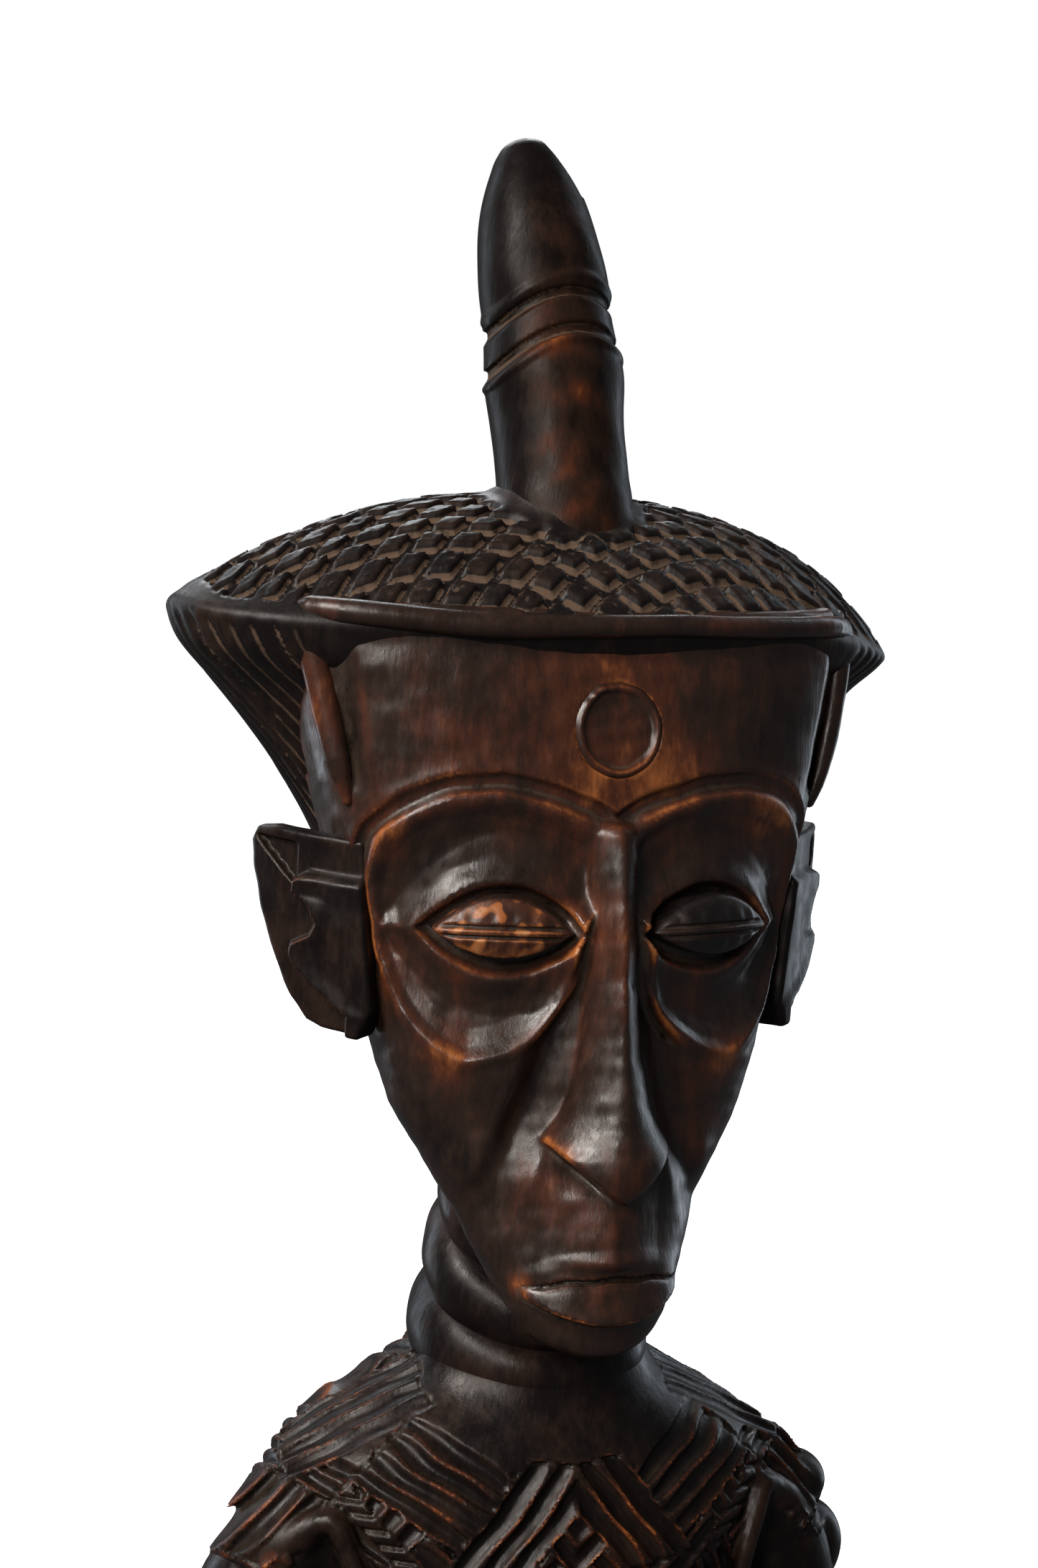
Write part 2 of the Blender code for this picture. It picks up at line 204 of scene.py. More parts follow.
def smooth_path(*points):
    """points resampled on a smooth curve, in three steps for each stretch."""
    pts = np.array(points, float)
    rows = []
    for i in range(len(pts) - 1):
        a, b = pts[i], pts[i + 1]
        before, after = pts[max(i - 1, 0)], pts[min(i + 2, len(pts) - 1)]
        for t in (0, 1 / 3, 2 / 3):
            rows.append(hermite(a, b, (b - before) / 2, (after - a) / 2, t))
    rows.append(pts[-1])
    return [tuple(r) for r in rows]


def outline(u, v, corners):
    """The distance from a flat shape with these corners, negative inside it."""
    away = None
    inside = np.zeros(u.shape, bool)
    for (ax, ay), (bx, by) in zip(corners, [*corners[1:], corners[0]]):
        dx, dy = bx - ax, by - ay
        t = np.clip(((u - ax) * dx + (v - ay) * dy) / (dx * dx + dy * dy), 0, 1)
        one = np.hypot(u - ax - t * dx, v - ay - t * dy)
        away = one if away is None else np.minimum(away, one)
        crosses = (ay > v) != (by > v)
        at = ax + (v - ay) * dx / (dy if dy else 1e-9)
        inside ^= crosses & (u < at)
    return np.where(inside, -away, away)


# ---- the head

FACE = [
    # (z, half width, front, middle, back, squareness of the front)
    (234.5, 4, -30, -26, -22, 2),
    (236.5, 8, -31, -25.5, -19, 2),
    (240, 11.8, -30.9, -23, -14, 2.1),
    (244, 14.4, -30.6, -20.5, -10, 2),
    (250, 17.6, -30.5, -17.5, -5.5, 1.65),
    (256, 20.6, -29.5, -14.5, -1, 1.5),
    (262, 24, -27, -11.5, 3.5, 1.8),
    (268, 27.6, -24.2, -9.5, 9, 2.05),
    (279, 31, -23.4, -6, 17, 2.5),
    (290, 33.5, -22.8, -3, 24, 2.6),
    (303, 36.2, -22, 0, 30, 2.6),
    (312, 38.8, -21, 1, 32, 2.55),
    (320, 41.2, -19.9, 2, 34, 2.5),
    (331, 43.6, -17.9, 3, 34, 2.55),
    (340, 45.2, -15.8, 4, 33, 2.7),
    (347, 45.6, -14, 5, 30, 2.8),
]
head_base = loft(FACE)

SOCKET_AT = (20.5, -20.5, 297.5)
SOCKET_TURN = turn_z(24)
SOCKET_RIM = [
    # (angle in degrees, from outwards to upwards; radius)
    (-180, 15.6), (-148, 15.2), (-115, 16.6), (-85, 18.2), (-58, 16.6), (-18, 15.4), (5, 16.8),
    (23, 19.2), (40, 21.4), (60, 21.9), (85, 21.8), (109, 21.9), (135, 23.2), (150, 22.8),
    (168, 17), (180, 15.6),
]
EYE_AT = (-3.0, 2.3)
DISC_AT = (0.3, 329.6)


def eye_frame(p):
    """Coordinates on the face from a socket's middle: outwards from the nose, and up."""
    out, _, up = rotated(mirror(p), SOCKET_AT, SOCKET_TURN)
    return out, up


def from_eye(u, v):
    """The same coordinates from the middle of the eye, whose two ends droop."""
    u = u - EYE_AT[0]
    return u, v - EYE_AT[1] + 0.004 * u**2


def socket_reach(u, v):
    """How far out a point is in its socket, from 0 at the middle to 1 at the rim."""
    angle = np.degrees(np.arctan2(v, u))
    table = np.array(SOCKET_RIM)
    return np.hypot(u, v) / np.interp(angle, table[:, 0], table[:, 1])


SOCKET_PROFILE = (
    (0.00, 0.55, 0.74, 0.88, 0.97, 1.00, 1.03, 1.085, 1.14, 1.19, 1.26),
    (-3.6, -3.4, -2.6, -1.3, 0.2, 0.45, 0.25, -1.15, -0.85, 0.2, 0.00),
)


def lens(u, v, half_length, up, down):
    """1 at the middle of a pointed oval, 0 on its outline and negative outside."""
    high = np.where(v > 0, up, down)
    return 1 - (u / half_length) ** 2 - np.abs(v) / high


def eye_relief(u, v):
    """The height of the eye's hill over the socket's floor."""
    u, v = from_eye(u, v)
    hill = 4.0 * np.clip(lens(u, v, 19.0, 14.5, 13.5), 0, 1) ** 0.95
    lid = 0.6 * bump(lens(u, v, 15.2, 9.2, 9.4), 0.16, 0.4)
    trough = -2.5 * ramp(-0.1, 0.26, lens(u, v, 13.2, 6.7, 7.2))
    return hill + lid + trough


def socket_relief(p):
    """The relief of a socket and its eye, and how far out in the socket p is."""
    u, v = eye_frame(p)
    reach = socket_reach(u, v) + 0.012 * waver(p, 11, 3)
    rim = np.interp(reach, *SOCKET_PROFILE)
    above = ramp(-6.0, 3.0, v + 0.25 * u)
    rim = np.where(reach > 1.0, rim * above + (1 - above) * 0.4 * bump(reach, 1.0, 0.12), rim)
    inner = ramp(-11.5, -16.5, u) * ramp(6.0, -4.0, v)
    return rim * (1 - 0.55 * inner) + eye_relief(u, v) * (1 - ramp(0.92, 1.0, reach)), reach


def nose_valley(ax, z):
    """The depth of the hollow beside the nose, under the inner end of the socket."""
    along = np.clip((300 - z) / 30, 0, 1.8)
    valley = bump(ax, 6.2 + 6.4 * along**1.5, 4.6)
    return (1.9 + 0.9 * along) * valley * ramp(0.0, 0.3, along) * ramp(1.7, 0.85, along)


# Each lip's relief, from where the lips meet, at 0, to its outer edge, at 1, and past it.
UPPER_LIP = ((0, 0.16, 0.75, 1.0, 1.35, 2.4), (-0.7, 0.9, 0.75, 0.45, 0.0, 0))
LOWER_LIP = ((0, 0.08, 0.22, 0.86, 1.0, 1.16, 1.5), (-0.7, 0.7, 1.2, 2.2, 2.4, 0.5, 0))


def lips(x, z):
    """Two ridges that run down and back to the corners of the mouth."""
    s = np.clip(np.abs(x - 0.6) / 13.2, 0, 1.3)
    swell = np.sqrt(np.clip(1 - s**2, 0, 1) + 1e-4)
    mouth = 247.8 - 2.2 * s**2 + 0.15 * np.sin(x * 0.9 + 1)
    top = 251.6 - 3.6 * s**2
    ridge = 241.4 + 3.2 * s**2
    upper = np.interp((z - mouth) / np.maximum(top - mouth, 0.9), *UPPER_LIP)
    lower = np.interp((mouth - z) / np.maximum(mouth - ridge, 1.0), *LOWER_LIP)
    return np.where(z > mouth, upper, lower) * swell * ramp(17, 12.5, np.abs(x))


def face_relief(p):
    """How far the carver's work on the face stands out from, or is sunk in, its base."""
    x, y, z = p
    ax = np.abs(x)
    relief, reach = socket_relief(p)
    relief = relief - nose_valley(ax, z) * ramp(0.99, 1.1, reach) + lips(x, z)
    # The upper lip rises to the nose in two planes that meet in an edge.
    planes = np.clip(1 - ax / 9.0, 0, 1) * ramp(248.5, 251.0, z) * ramp(264, 260, z)
    # The forehead's disc lies in a shallow recess.
    recess = ramp(7.2, 6.4, np.hypot(x - DISC_AT[0], z - DISC_AT[1]))
    # The plain band under the hairline is hollowed like a cove, and so is each temple.
    cove = 0.5 * bump(z, 341.2, 3.6) * ramp(44, 40, ax)
    temple = 1.2 * bump(ax, 37.6 + 0.17 * (z - 319), 2.6) * ramp(317, 321, z)
    front = ramp(9.0, -2.0, y)
    return (relief + 1.7 * planes - 0.9 * recess - cove - temple) * front


NOSE = [
    # (z, crest y, half width, depth, and the roundness of the section)
    (253, -32.6, 9.6, 9, 2.1),
    (259, -33.7, 9.9, 10, 2),
    (263, -35, 10.2, 11.2, 1.95),
    (267, -35.2, 10.5, 11.4, 1.8),
    (269, -34.6, 9.2, 11, 1.75),
    (272, -33.4, 7.4, 9.8, 1.7),
    (277, -31.9, 6, 8.6, 1.6),
    (284, -30, 4.8, 7, 1.45),
    (293, -28.2, 4, 5.4, 1.35),
    (302, -26.6, 3.5, 4.4, 1.35),
    (309, -25, 3.7, 4, 1.4),
    (318, -22.6, 4.4, 3.8, 1.5),
]
nose_table = smooth_table(NOSE)
NOSE_UNDER = 260.2  # where the nose's underside leaves its tip


def nose(p):
    """A narrow wedge that swells to a rounded tip with pointed wings."""
    x, y, z = p
    crest, half, depth, n = columns(nose_table, z)
    ahead = crest + depth - y
    wedge = section(x, np.maximum(ahead, 0), half, depth, n) * 0.8
    # Its underside rises from the tip to the corner of each wing.
    under = (NOSE_UNDER + 0.78 * np.abs(x) - z) * 0.79
    wedge = common(wedge, under, 0.7)
    wedge = common(wedge, -ahead - 3.0, 1.5)
    return common(wedge, z - 316, 2.0)


def head(p):
    """The face with its nose, cut off where the hair begins."""
    _, y, z = p
    base = head_base(p) - face_relief(p)
    f = blend(base, nose(p), 0.8)
    crown = np.maximum(6 - y, 318 - z)
    f = cut(f, crown, 0.5)
    return f - 0.1 * waver(p, 9, 1) - 0.05 * waver(p, 4.2, 2)


# ---- eyes, ears, disc, bead


def eyeball(p):
    """The almond of one eye, split by a slit with a thin ridge along it."""
    u, v = from_eye(*eye_frame(p))
    base = head_base(p)
    oval = lens(u, v, 10.6, 5.1, 4.3)
    height = 0.1 + 2.3 * np.sqrt(np.clip(oval, 0, 1) + 1e-3)
    slit = 0.75 * bump(v, 0.75, 0.55) + 0.75 * bump(v, -0.75, 0.55)
    height = height - slit * ramp(0.0, 0.35, oval)
    nicks = 0.14 * np.sin(u * 2.1 + 1.2) * bump(np.abs(v), 2.0, 1.6)
    top = common(base - (height + nicks), -oval * 4.0, 0.5)
    return common(top, -(base + 4.0), 0.4)


EAR_AT = (41.0, -0.2, 295.2)
EAR_TURN = ((0.669, 0.743, 0), (0, 0, 1), (0.743, -0.669, 0))
EAR_OUTLINE = [
    (10.6, 12.6), (9.6, 14.4), (6.5, 15), (-9, 15), (-12.5, -10), (-11, -13.9),
    (-7.6, -13.6), (-4.2, -13.4), (-1.8, -12.6), (1.2, -9.8), (2.9, -7.4), (5.5, -2.6),
    (8, 2.8), (9.9, 8.8),
]
EAR_FOLD = (
    (-11, -9.4, -6.5, -4.3, -2.8, -1.4, 0.3, 2.2, 4.4, 5.6, 6.5, 8.2, 9.6),
    (-9, -6, -1.8, 0.9, 1.7, 1.2, -1.9, -2.9, -1.7, -0.4, 1.8, 1.6, -0.5),
)


def ear(p):
    """A flat ear with a raised rim, a fold down its length and a pocket near the top."""
    u, v, w = rotated(mirror(p), EAR_AT, EAR_TURN)
    shape = outline(u, v, EAR_OUTLINE) - 0.6
    bow = 0.01 * (u + 4) ** 2 - 0.4
    fold = np.interp(v, *EAR_FOLD)
    raised = 2.1 * ramp(-0.7, 0.7, fold - u) * ramp(10.5, 8.5, v)
    raised = raised * (0.75 + 0.25 * ramp(6, 0, fold - u))
    pocket = ramp(0.0, 0.9, v - (5.5 + 0.76 * u)) * ramp(14.3, 13.2, v) * ramp(10.4, 9.2, u)
    pocket = 1.3 * pocket * ramp(1.2, 3.2, u) * (1 + 0.12 * np.sin(u * 3.3))
    front = w - (1.5 - bow + raised - pocket)
    back = -(w + 2.0 + bow)
    body = common(common(shape, front, 0.9), back, 1.2)
    return body - 0.06 * waver(p, 6, 4)


def forehead_disc(p):
    """A thin disc with a raised ring and a ragged edge, torn at its upper corner."""
    base = head_base(p)
    dx, dz = p[0] - DISC_AT[0], p[2] - DISC_AT[1]
    r = np.hypot(dx, dz)
    angle = np.arctan2(dz, dx)
    ragged = 0.28 * np.sin(3 * angle + 0.6) + 0.2 * np.sin(7 * angle) + 0.1 * np.sin(13 * angle)
    torn = bump(angle, 2.05, 0.75)
    ragged = ragged * (0.5 + torn) + torn * 0.5
    edge = r - (7.3 + 0.35 * ragged)
    ring = bump(r, 6.35 + 0.3 * ragged, 1.15)
    height = -0.35 + ring * (0.8 + 0.3 * ragged) + 0.12 * torn * np.sin(angle * 23) * ring
    floor = 0.1 * waver(p, 3.5, 6) * ramp(6, 5, r)
    return common(common(base - height - floor, edge, 0.35), -(base + 3.0), 0.4)


BEAD = smooth_path(
    (-38.4, -7.6, 317, 0.8), (-40.2, -6.6, 323.5, 1.9), (-42.2, -4.8, 332, 2.2),
    (-44.2, -3.2, 340, 2.2), (-45.4, -2.6, 344.6, 2), (-41, -7.6, 345.4, 1.9),
    (-33, -11.2, 345.2, 1.9), (-22, -13.9, 344.6, 1.95), (-11, -15.3, 344.7, 1.8),
    (0, -15.6, 345, 1.75), (11, -15.2, 345.2, 1.75), (22, -13.8, 344.9, 1.8),
    (33, -10.9, 344.7, 1.8), (40, -7.4, 344.4, 1.8), (43.6, -3.6, 343, 1.85),
    (43.4, -3.9, 338, 1.9), (42, -5.3, 329, 1.8), (40.2, -6.8, 321.5, 1.5),
    (38.4, -7.6, 316.5, 0.8),
)


def bead(p):
    """The bead that frames the forehead."""
    return tube(p, BEAD) - 0.12 * waver(p, 13, 5)


# ---- coiffure and topknot

HALF, MID_Y, FRONT_Y, BACK_Y = 60.5, 14.0, -16.0, 48.0
HAIR = [
    (266, 13, 9, 16, 23),
    (272, 19, 6, 16, 29),
    (290, 27, 3, 17, 38),
    (308, 35.5, 0.5, 17, 42.5),
    (320, 43.6, -4, 16, 45),
    (332, 54, -9.6, 15, 47.5),
    (338.0, 59.4, -14.0, MID_Y, 48.2),
    (342.0, 61.0, FRONT_Y + 0.4, MID_Y, BACK_Y + 0.4),
    (352.0, 61.5, FRONT_Y - 1.4, MID_Y, BACK_Y + 1),
    (372.0, 61.5, FRONT_Y - 1.4, MID_Y, BACK_Y + 1),
]
hair_side = loft(HAIR, power=2.1)
DOME_RIM, DOME_CROWN = 344.8, 361.8
BLOCK_PITCH, STRAND_PITCH = 4.2, 2.7


def rim_reach(x, y):
    """0 at the crown and 1 all along the coiffure's rim."""
    depth = np.where(y < MID_Y, MID_Y - FRONT_Y, BACK_Y - MID_Y)
    return np.sqrt((x / HALF) ** 2 + ((y - MID_Y) / depth) ** 2)


def dome(x, y):
    """The height of the coiffure's top, before its grooves are cut."""
    reach = rim_reach(x, y)
    ahead = np.clip((MID_Y - y) / 30.0, -1.2, 1.0)
    # The rim falls towards the back, and at the tip on her left.
    rim = DOME_RIM + 6.5 * np.minimum(ahead, 0)
    rim = rim - 10.0 * np.clip(x / HALF, 0, 1.2) ** 4
    return rim + (DOME_CROWN - rim) * (1 - np.minimum(reach, 1.2) ** 2.3)


def crossing(x, y, side, seed):
    """The distance to the nearest groove of one family of arcs across the dome, and its
    number. The arcs are centred in front of her, on the given side."""
    r = np.hypot(x - side * 44, y + 95) + 0.25 * waver((x, y, 0), 17, seed)
    row = np.floor(r / BLOCK_PITCH)
    off = (r / BLOCK_PITCH - row - 0.5) * BLOCK_PITCH + 0.5 * (jitter(row, seed) - 0.5)
    return np.abs(off), row


def coiffure_cuts(x, y):
    """The depth of the crossed grooves, and the blocks' own unevenness."""
    a, row_a = crossing(x, y, -1, 1)
    b, row_b = crossing(x, y, 1, 2)
    # The rim, the side tips and a ring at the topknot's foot are left plain.
    front = np.clip((MID_Y - y) / 30, 0, 1)
    edge = 1 - (0.02 + 0.03 * front**2)
    live = ramp(edge, edge - 0.03, rim_reach(x, y)) * ramp(12.2, 13.6, np.hypot(x, y - 9.5))
    tip = ramp(57.0, 55.0, np.abs(x)) + ramp(2.0, 4.5, y - MID_Y)
    live = live * np.clip(tip, 0, 1)
    groove = np.maximum(ramp(0.95, 0.45, a), ramp(0.95, 0.45, b))
    block = row_a * 37 + row_b
    uneven = 0.35 * (jitter(block, 7) - 0.5) * (1 - groove)
    tilt = 0.1 * (jitter(block, 9) - 0.5) * (a - b) * (1 - groove)
    return (groove * 1.45 + uneven + tilt) * live


def strands(p):
    """Grooves that run down the underside and back of the hair."""
    x, y, z = p
    angle = np.arctan2(y - 15, np.abs(x) + 1e-3)
    lanes = (angle * 46 - 0.22 * (z - 330) + 0.5 * waver(p, 24, 8)) / STRAND_PITCH
    depth = 0.45 + 0.45 * jitter(np.floor(lanes), 4)
    return depth * ramp(0.2, 0.95, from_middle(lanes))


def coiffure(p):
    """The boat-shaped hair: its grooved dome over its strands."""
    x, y, z = p
    side = hair_side(p) + strands(p) * ramp(344, 341, z) * ramp(-8, -1, y)
    top = (z - dome(x, y) + coiffure_cuts(x, y)) * 0.9
    f = common(side, top, 1.3)
    # The dome sweeps up into the foot of the topknot.
    f = blend(f, knot_side(p) + 0.5, 3.5)
    return f - 0.08 * waver(p, 8, 9)


KNOT_FOOT = np.array((0.0, 9.4, 360.4))
KNOT_TIP = np.array((-3.6, 27.2, 417.0))


def knot_frame():
    """The topknot's axes as rows: to her left, back, and along it."""
    axis = KNOT_TIP - KNOT_FOOT
    axis = axis / np.linalg.norm(axis)
    across = np.cross((0, 1, 0), axis)
    across = across / np.linalg.norm(across)
    return tuple(across), tuple(np.cross(axis, across)), tuple(axis)


KNOT_TURN = knot_frame()
# The height along the topknot, and its radius there.
KNOT_PROFILE = (
    (-12, -1.5, 0.6, 3, 8, 14, 20, 25, 30, 34, 38, 44, 49, 53, 56, 58.2, 59.3),
    (10.5, 10.6, 10.5, 10.2, 10.1, 10.4, 10.7, 10.3, 9.9, 9.9, 9.7, 8.9, 7.6, 6.1, 4.6, 2.6, 0.4),
)
knot_table = smooth_table(np.array(KNOT_PROFILE).T)
KNOT_GROOVES = ((25.9, 1.3), (31.8, 1.25))  # the height and half width of each


def knot_side(p):
    """The plain foot of the topknot."""
    u, v, w = rotated(p, KNOT_FOOT, KNOT_TURN)
    return common(np.hypot(u, v) - 10.4, np.abs(w) - 4.0, 2.0)


def topknot(p):
    """The tall topknot, with two grooves below its middle and a chipped tip."""
    u, v, w = rotated(p, KNOT_FOOT, KNOT_TURN)
    u = u - 0.4 * np.sin(w / 14)
    (radius,) = columns(knot_table, w)
    angle = np.arctan2(v, u)
    radius = radius * (1 + 0.025 * np.cos(2 * angle + 0.5) + 0.012 * np.cos(3 * angle))
    side = np.hypot(u, v) - radius
    # The grooves slant, lowest on her right, and bow upwards in front.
    level = w - 0.13 * u + 0.032 * u**2
    for at, half in KNOT_GROOVES:
        off = np.abs(level - at - 0.25 * np.sin(angle * 2))
        side = side + 0.7 * ramp(half, half * 0.35, off)
    side = side - 0.35 * bump(level, 24.3, 1.3) - 0.3 * bump(level, 34.3, 1.3)
    f = common(side * 0.95, np.maximum(w - 59.0, -9.0 - w), 2.5)
    # One chisel cut flattens the tip on her left, down to a small step.
    chop = (u * 0.9 + w * 0.43) - 26.6 - 0.12 * np.sin(v * 2.0)
    chop = np.where(w > 48.5 + 0.1 * v, chop, chop - 1.6)
    f = common(f, chop, 0.35)
    return f - 0.12 * waver(p, 14, 11)


# ---- neck and trunk


def neck_ring(y0, z0, lean, radius, half):
    """A barrel-shaped roll round a neck that leans forward by lean degrees."""
    c, s = math.cos(math.radians(lean)), math.sin(math.radians(lean))
    rounded = 5.0  # how far in from its widest the roll's side curves over

    def field(p):
        x, y, z = p
        v = (y - y0) * c + (z - z0) * s
        w = -(y - y0) * s + (z - z0) * c
        out = np.hypot(x, v) - (radius - rounded)
        bulge = (np.hypot(np.maximum(out, 0) / rounded, w / half) - 1) * 4.6
        flat = np.abs(w) - half
        return np.where(out > 0, bulge, flat) - 0.12 * waver(p, 11, 13)

    return field


ring_lower = neck_ring(0.5, 229.3, 22, 19.4, 7.6)
ring_middle = neck_ring(-0.5, 241.2, 36, 18.2, 6.4)
ring_upper = neck_ring(-2.5, 251.6, 40, 17.0, 6.0)

TORSO = [
    (122, 35, -30, 2, 25),
    (128, 36, -35, 2, 25.5),
    (136, 34.8, -41, 0, 22),
    (147, 33.5, -43, -1, 20),
    (160, 31.5, -36, -1, 20),
    (176, 33.5, -28, 0, 22),
    (190, 37.5, -27, 0, 24),
    (202, 42, -27, 0, 24),
    (210, 41.5, -25.5, 0, 23),
    (216, 36.5, -23, 0, 21.5),
    (221, 28.5, -19.5, 1, 19.5),
    (226, 18.5, -14, 2, 15.5),
    (230, 10, -8, 2, 11),
]
torso_base = loft(TORSO)
CELL, STROKE = 15.0, 3.7  # a hatched cell's side, and the width of one stroke


def weave(s, t, seed):
    """The gouged strokes of one hatched field: square cells, each filled with parallel cuts,
    and neighbours cut the other way. Returns the depth."""
    p = (s + t) / math.sqrt(2)
    q = (s - t) / math.sqrt(2)
    i, j = np.floor(p / CELL), np.floor(q / CELL)
    odd = (i + j) % 2 > 0.5
    along = np.where(odd, p / CELL - i, q / CELL - j)
    across = np.where(odd, q / CELL - j, p / CELL - i)
    return strokes(along, across, CELL / STROKE, CELL, i * 31 + j * 17, seed)


def strokes(along, across, count, length, block, seed):
    """Parallel gouge marks that fill a block from 0 to 1 both ways."""
    lanes = across * count
    lot = jitter(block + np.floor(lanes) * 7, seed)
    taper = np.sqrt(np.clip(1 - (2 * along - 1) ** 2, 0, 1) + 1e-4)
    wide = 0.45 + 0.55 * taper
    scallop = np.clip(1 - (from_middle(lanes) / wide) ** 2, 0, 1)
    edge = np.minimum(along, 1 - along) * length
    return scallop * (1.15 + 0.7 * lot) * (0.4 + 0.6 * taper) + 0.5 * ramp(0.7, 0.2, edge)


# Blocks of strokes on the front of each shoulder: corner, along the strokes, across, how many.
FRONT_BLOCKS = [
    ((42.5, -9, 209.6), (-21.5, -4.6, 13), (0.2, 12.5, 7.4), 4),
    ((34.2, -14.3, 212), (-15.6, -9.4, -9.6), (-10.4, -0.5, 10.2), 4),
    ((7.6, -22.6, 216.4), (13.4, -2.2, -16.4), (-12.6, -0.8, -2), 3),
]


def block_of_strokes(p, corner, along, across, count, number):
    """Whether a point is over the block, and how deep the block is cut there."""
    a, b = np.array(along), np.array(across)
    n = np.cross(a, b)
    n = n / np.linalg.norm(n)
    d = [c - o for c, o in zip(p, corner)]
    one, two = np.cross(b, n), np.cross(n, a)
    one, two = one / (a @ one), two / (b @ two)
    s = sum(c * k for c, k in zip(d, one)) + 0.02 * waver(p, 9, number)
    t = sum(c * k for c, k in zip(d, two)) + 0.03 * waver(p, 12, number + 3)
    off = sum(c * k for c, k in zip(d, n))
    over = (s > 0) & (s < 1) & (t > 0) & (t < 1) & (np.abs(off) < 9)
    return over, strokes(s, t, count, np.linalg.norm(a), number * 11, 5)


def hatch(p):
    """The hatched skin of the shoulders, chest and back."""
    x, y, z = p
    ax = np.abs(x)
    s = ax * 1.08 + 0.6 * waver(p, 21, 14) + 3.0
    t = z + 0.55 * (y + 20) + 0.6 * waver(p, 19, 15)
    yoke = ramp(0.0, -5.0, y) * ramp(213.0, 215.5, z)
    depth = weave(s, t, 3) * (1 - yoke)
    for number, spec in enumerate(FRONT_BLOCKS):
        over, cut_in = block_of_strokes((ax, y, z), *spec, number)
        depth = np.where(over, cut_in, depth)
    return depth


SHOULDER = smooth_path(
    (31, -3, 205, 9.5), (37.5, -4.5, 203.5, 9.6), (41.2, -5, 197.5, 9.8), (43.4, -5, 189, 9.6),
)
V_RIDGE = smooth_path(
    (31, -20.2, 188, 1.2), (32.6, -19.2, 197, 1.5), (34.6, -17.6, 202, 1.6),
    (36.8, -15.6, 206, 1.8), (41.2, -13.2, 203.2, 1.9), (45.8, -11, 198.8, 1.8),
    (51, -7.8, 191, 1.4),
)
CHIP_ROW = ((36.2, -14.8, 209.6), (-9.5, -8, -11), (-2, -0.6, 2.2), 1)
CHIP_PITCH = 2.3
# Two bosses on her left shoulder only: centre and radii.
BOSSES = (((47.6, -5.5, 202.4), (4.6, 6, 4.6)), ((51, -5, 190.5), (5.6, 6.5, 7.5)))


def torso(p):
    """The trunk with its hatched skin, a V-shaped ridge on each shoulder and a belt of cuts."""
    x, y, z = p
    ax = np.abs(x)
    base = blend(torso_base(p), tube(mirror(p), SHOULDER, 2.0), 3.5)
    base = blend(base, ring_lower(p) + 0.35, 7.0)
    ridge = tube(mirror(p), V_RIDGE)
    low = 178 + 14 * ramp(30, 42, ax)
    skin = ramp(low, low + 6, z) * ramp(232, 226, z + 0.55 * (y + 12) * (y < -12))
    inner, outer = 31.2 + (z - 190) * 0.35, 50.8 - (z - 191) * 0.93
    panel = ramp(0, 1.5, ax - inner) * ramp(0, 1.5, outer - ax) * ramp(3, 0, y)
    skin = skin * ramp(0.1, 1.2, ridge) * (1 - panel)
    depth = hatch(p) * skin
    over, _ = block_of_strokes(mirror(p), *CHIP_ROW, 9)
    lanes = (z + 2.0 * waver(p, 30, 5)) / CHIP_PITCH
    chips = 0.95 * ramp(0.5, 0.95, from_middle(lanes)) + 0.1
    depth = np.where(over, chips * ramp(0.1, 1.0, ridge), depth)
    # Inside the ridge's angle the arm is a plain, sunken panel.
    f = base + depth + 0.9 * panel * ramp(0, 2, ridge)
    f = blend(f, ridge, 1.0)
    for centre, radii in BOSSES:
        f = blend(f, ellipsoid(p, centre, radii), 1.2)
    # A belt of short cuts above the hips.
    f = f + 0.6 * ramp(131.5, 130.9, z) * bump((np.arctan2(x, -y) * 9.5) % 1.0, 0.5, 0.45)
    return f - 0.1 * waver(p, 12, 16)


ARM = smooth_path(
    (41.5, -5, 197, 6.5), (43, -5, 192, 9.2), (44.6, -5, 187, 9.6), (46.4, -4, 178, 9.3),
    (47.3, -1, 163, 8.4), (46.5, 0, 152, 8.4),
)
FOREARM = smooth_path(
    (46.5, -2, 150.5, 8), (45, -12, 146.5, 7.9), (41, -26, 145, 6.9), (36.5, -35, 145, 5.8),
)


def upper_arm(p):
    return tube(mirror(p), ARM, 2.0) - 0.15 * waver(p, 13, 17)


def forearm(p):
    """A forearm with two bracelets at its wrist."""
    q = mirror(p)
    along = (q[1] + 30) * 0.8 - (q[0] - 39) * 0.35
    bracelets = bump(along, 0, 1.4) + bump(along, 3.6, 1.4)
    return tube(q, FOREARM, 2.0) - 0.9 * bracelets - 0.12 * waver(p, 11, 18)


def hand(p):
    """A closed hand with its thumb on top."""
    q = mirror(p)
    turn = turn_z(-34)
    u, _, w = rotated(q, (26.5, -40.6, 145), turn)
    palm = ellipsoid(q, (26.5, -40.2, 145), (11.5, 4.6, 7.8), turn)
    # Fingers are parted by three grooves from the middle to the tips.
    palm = palm + 0.9 * ramp(0.55, 1.0, from_middle((w + 7.6) / 3.8)) * ramp(3.0, 0.0, u)
    thumb = tube(q, [(31, -42, 150.5, 2.6), (26, -44, 153.4, 2.2), (22.5, -45, 153.2, 1.8)])
    return blend(palm, thumb, 1.0)


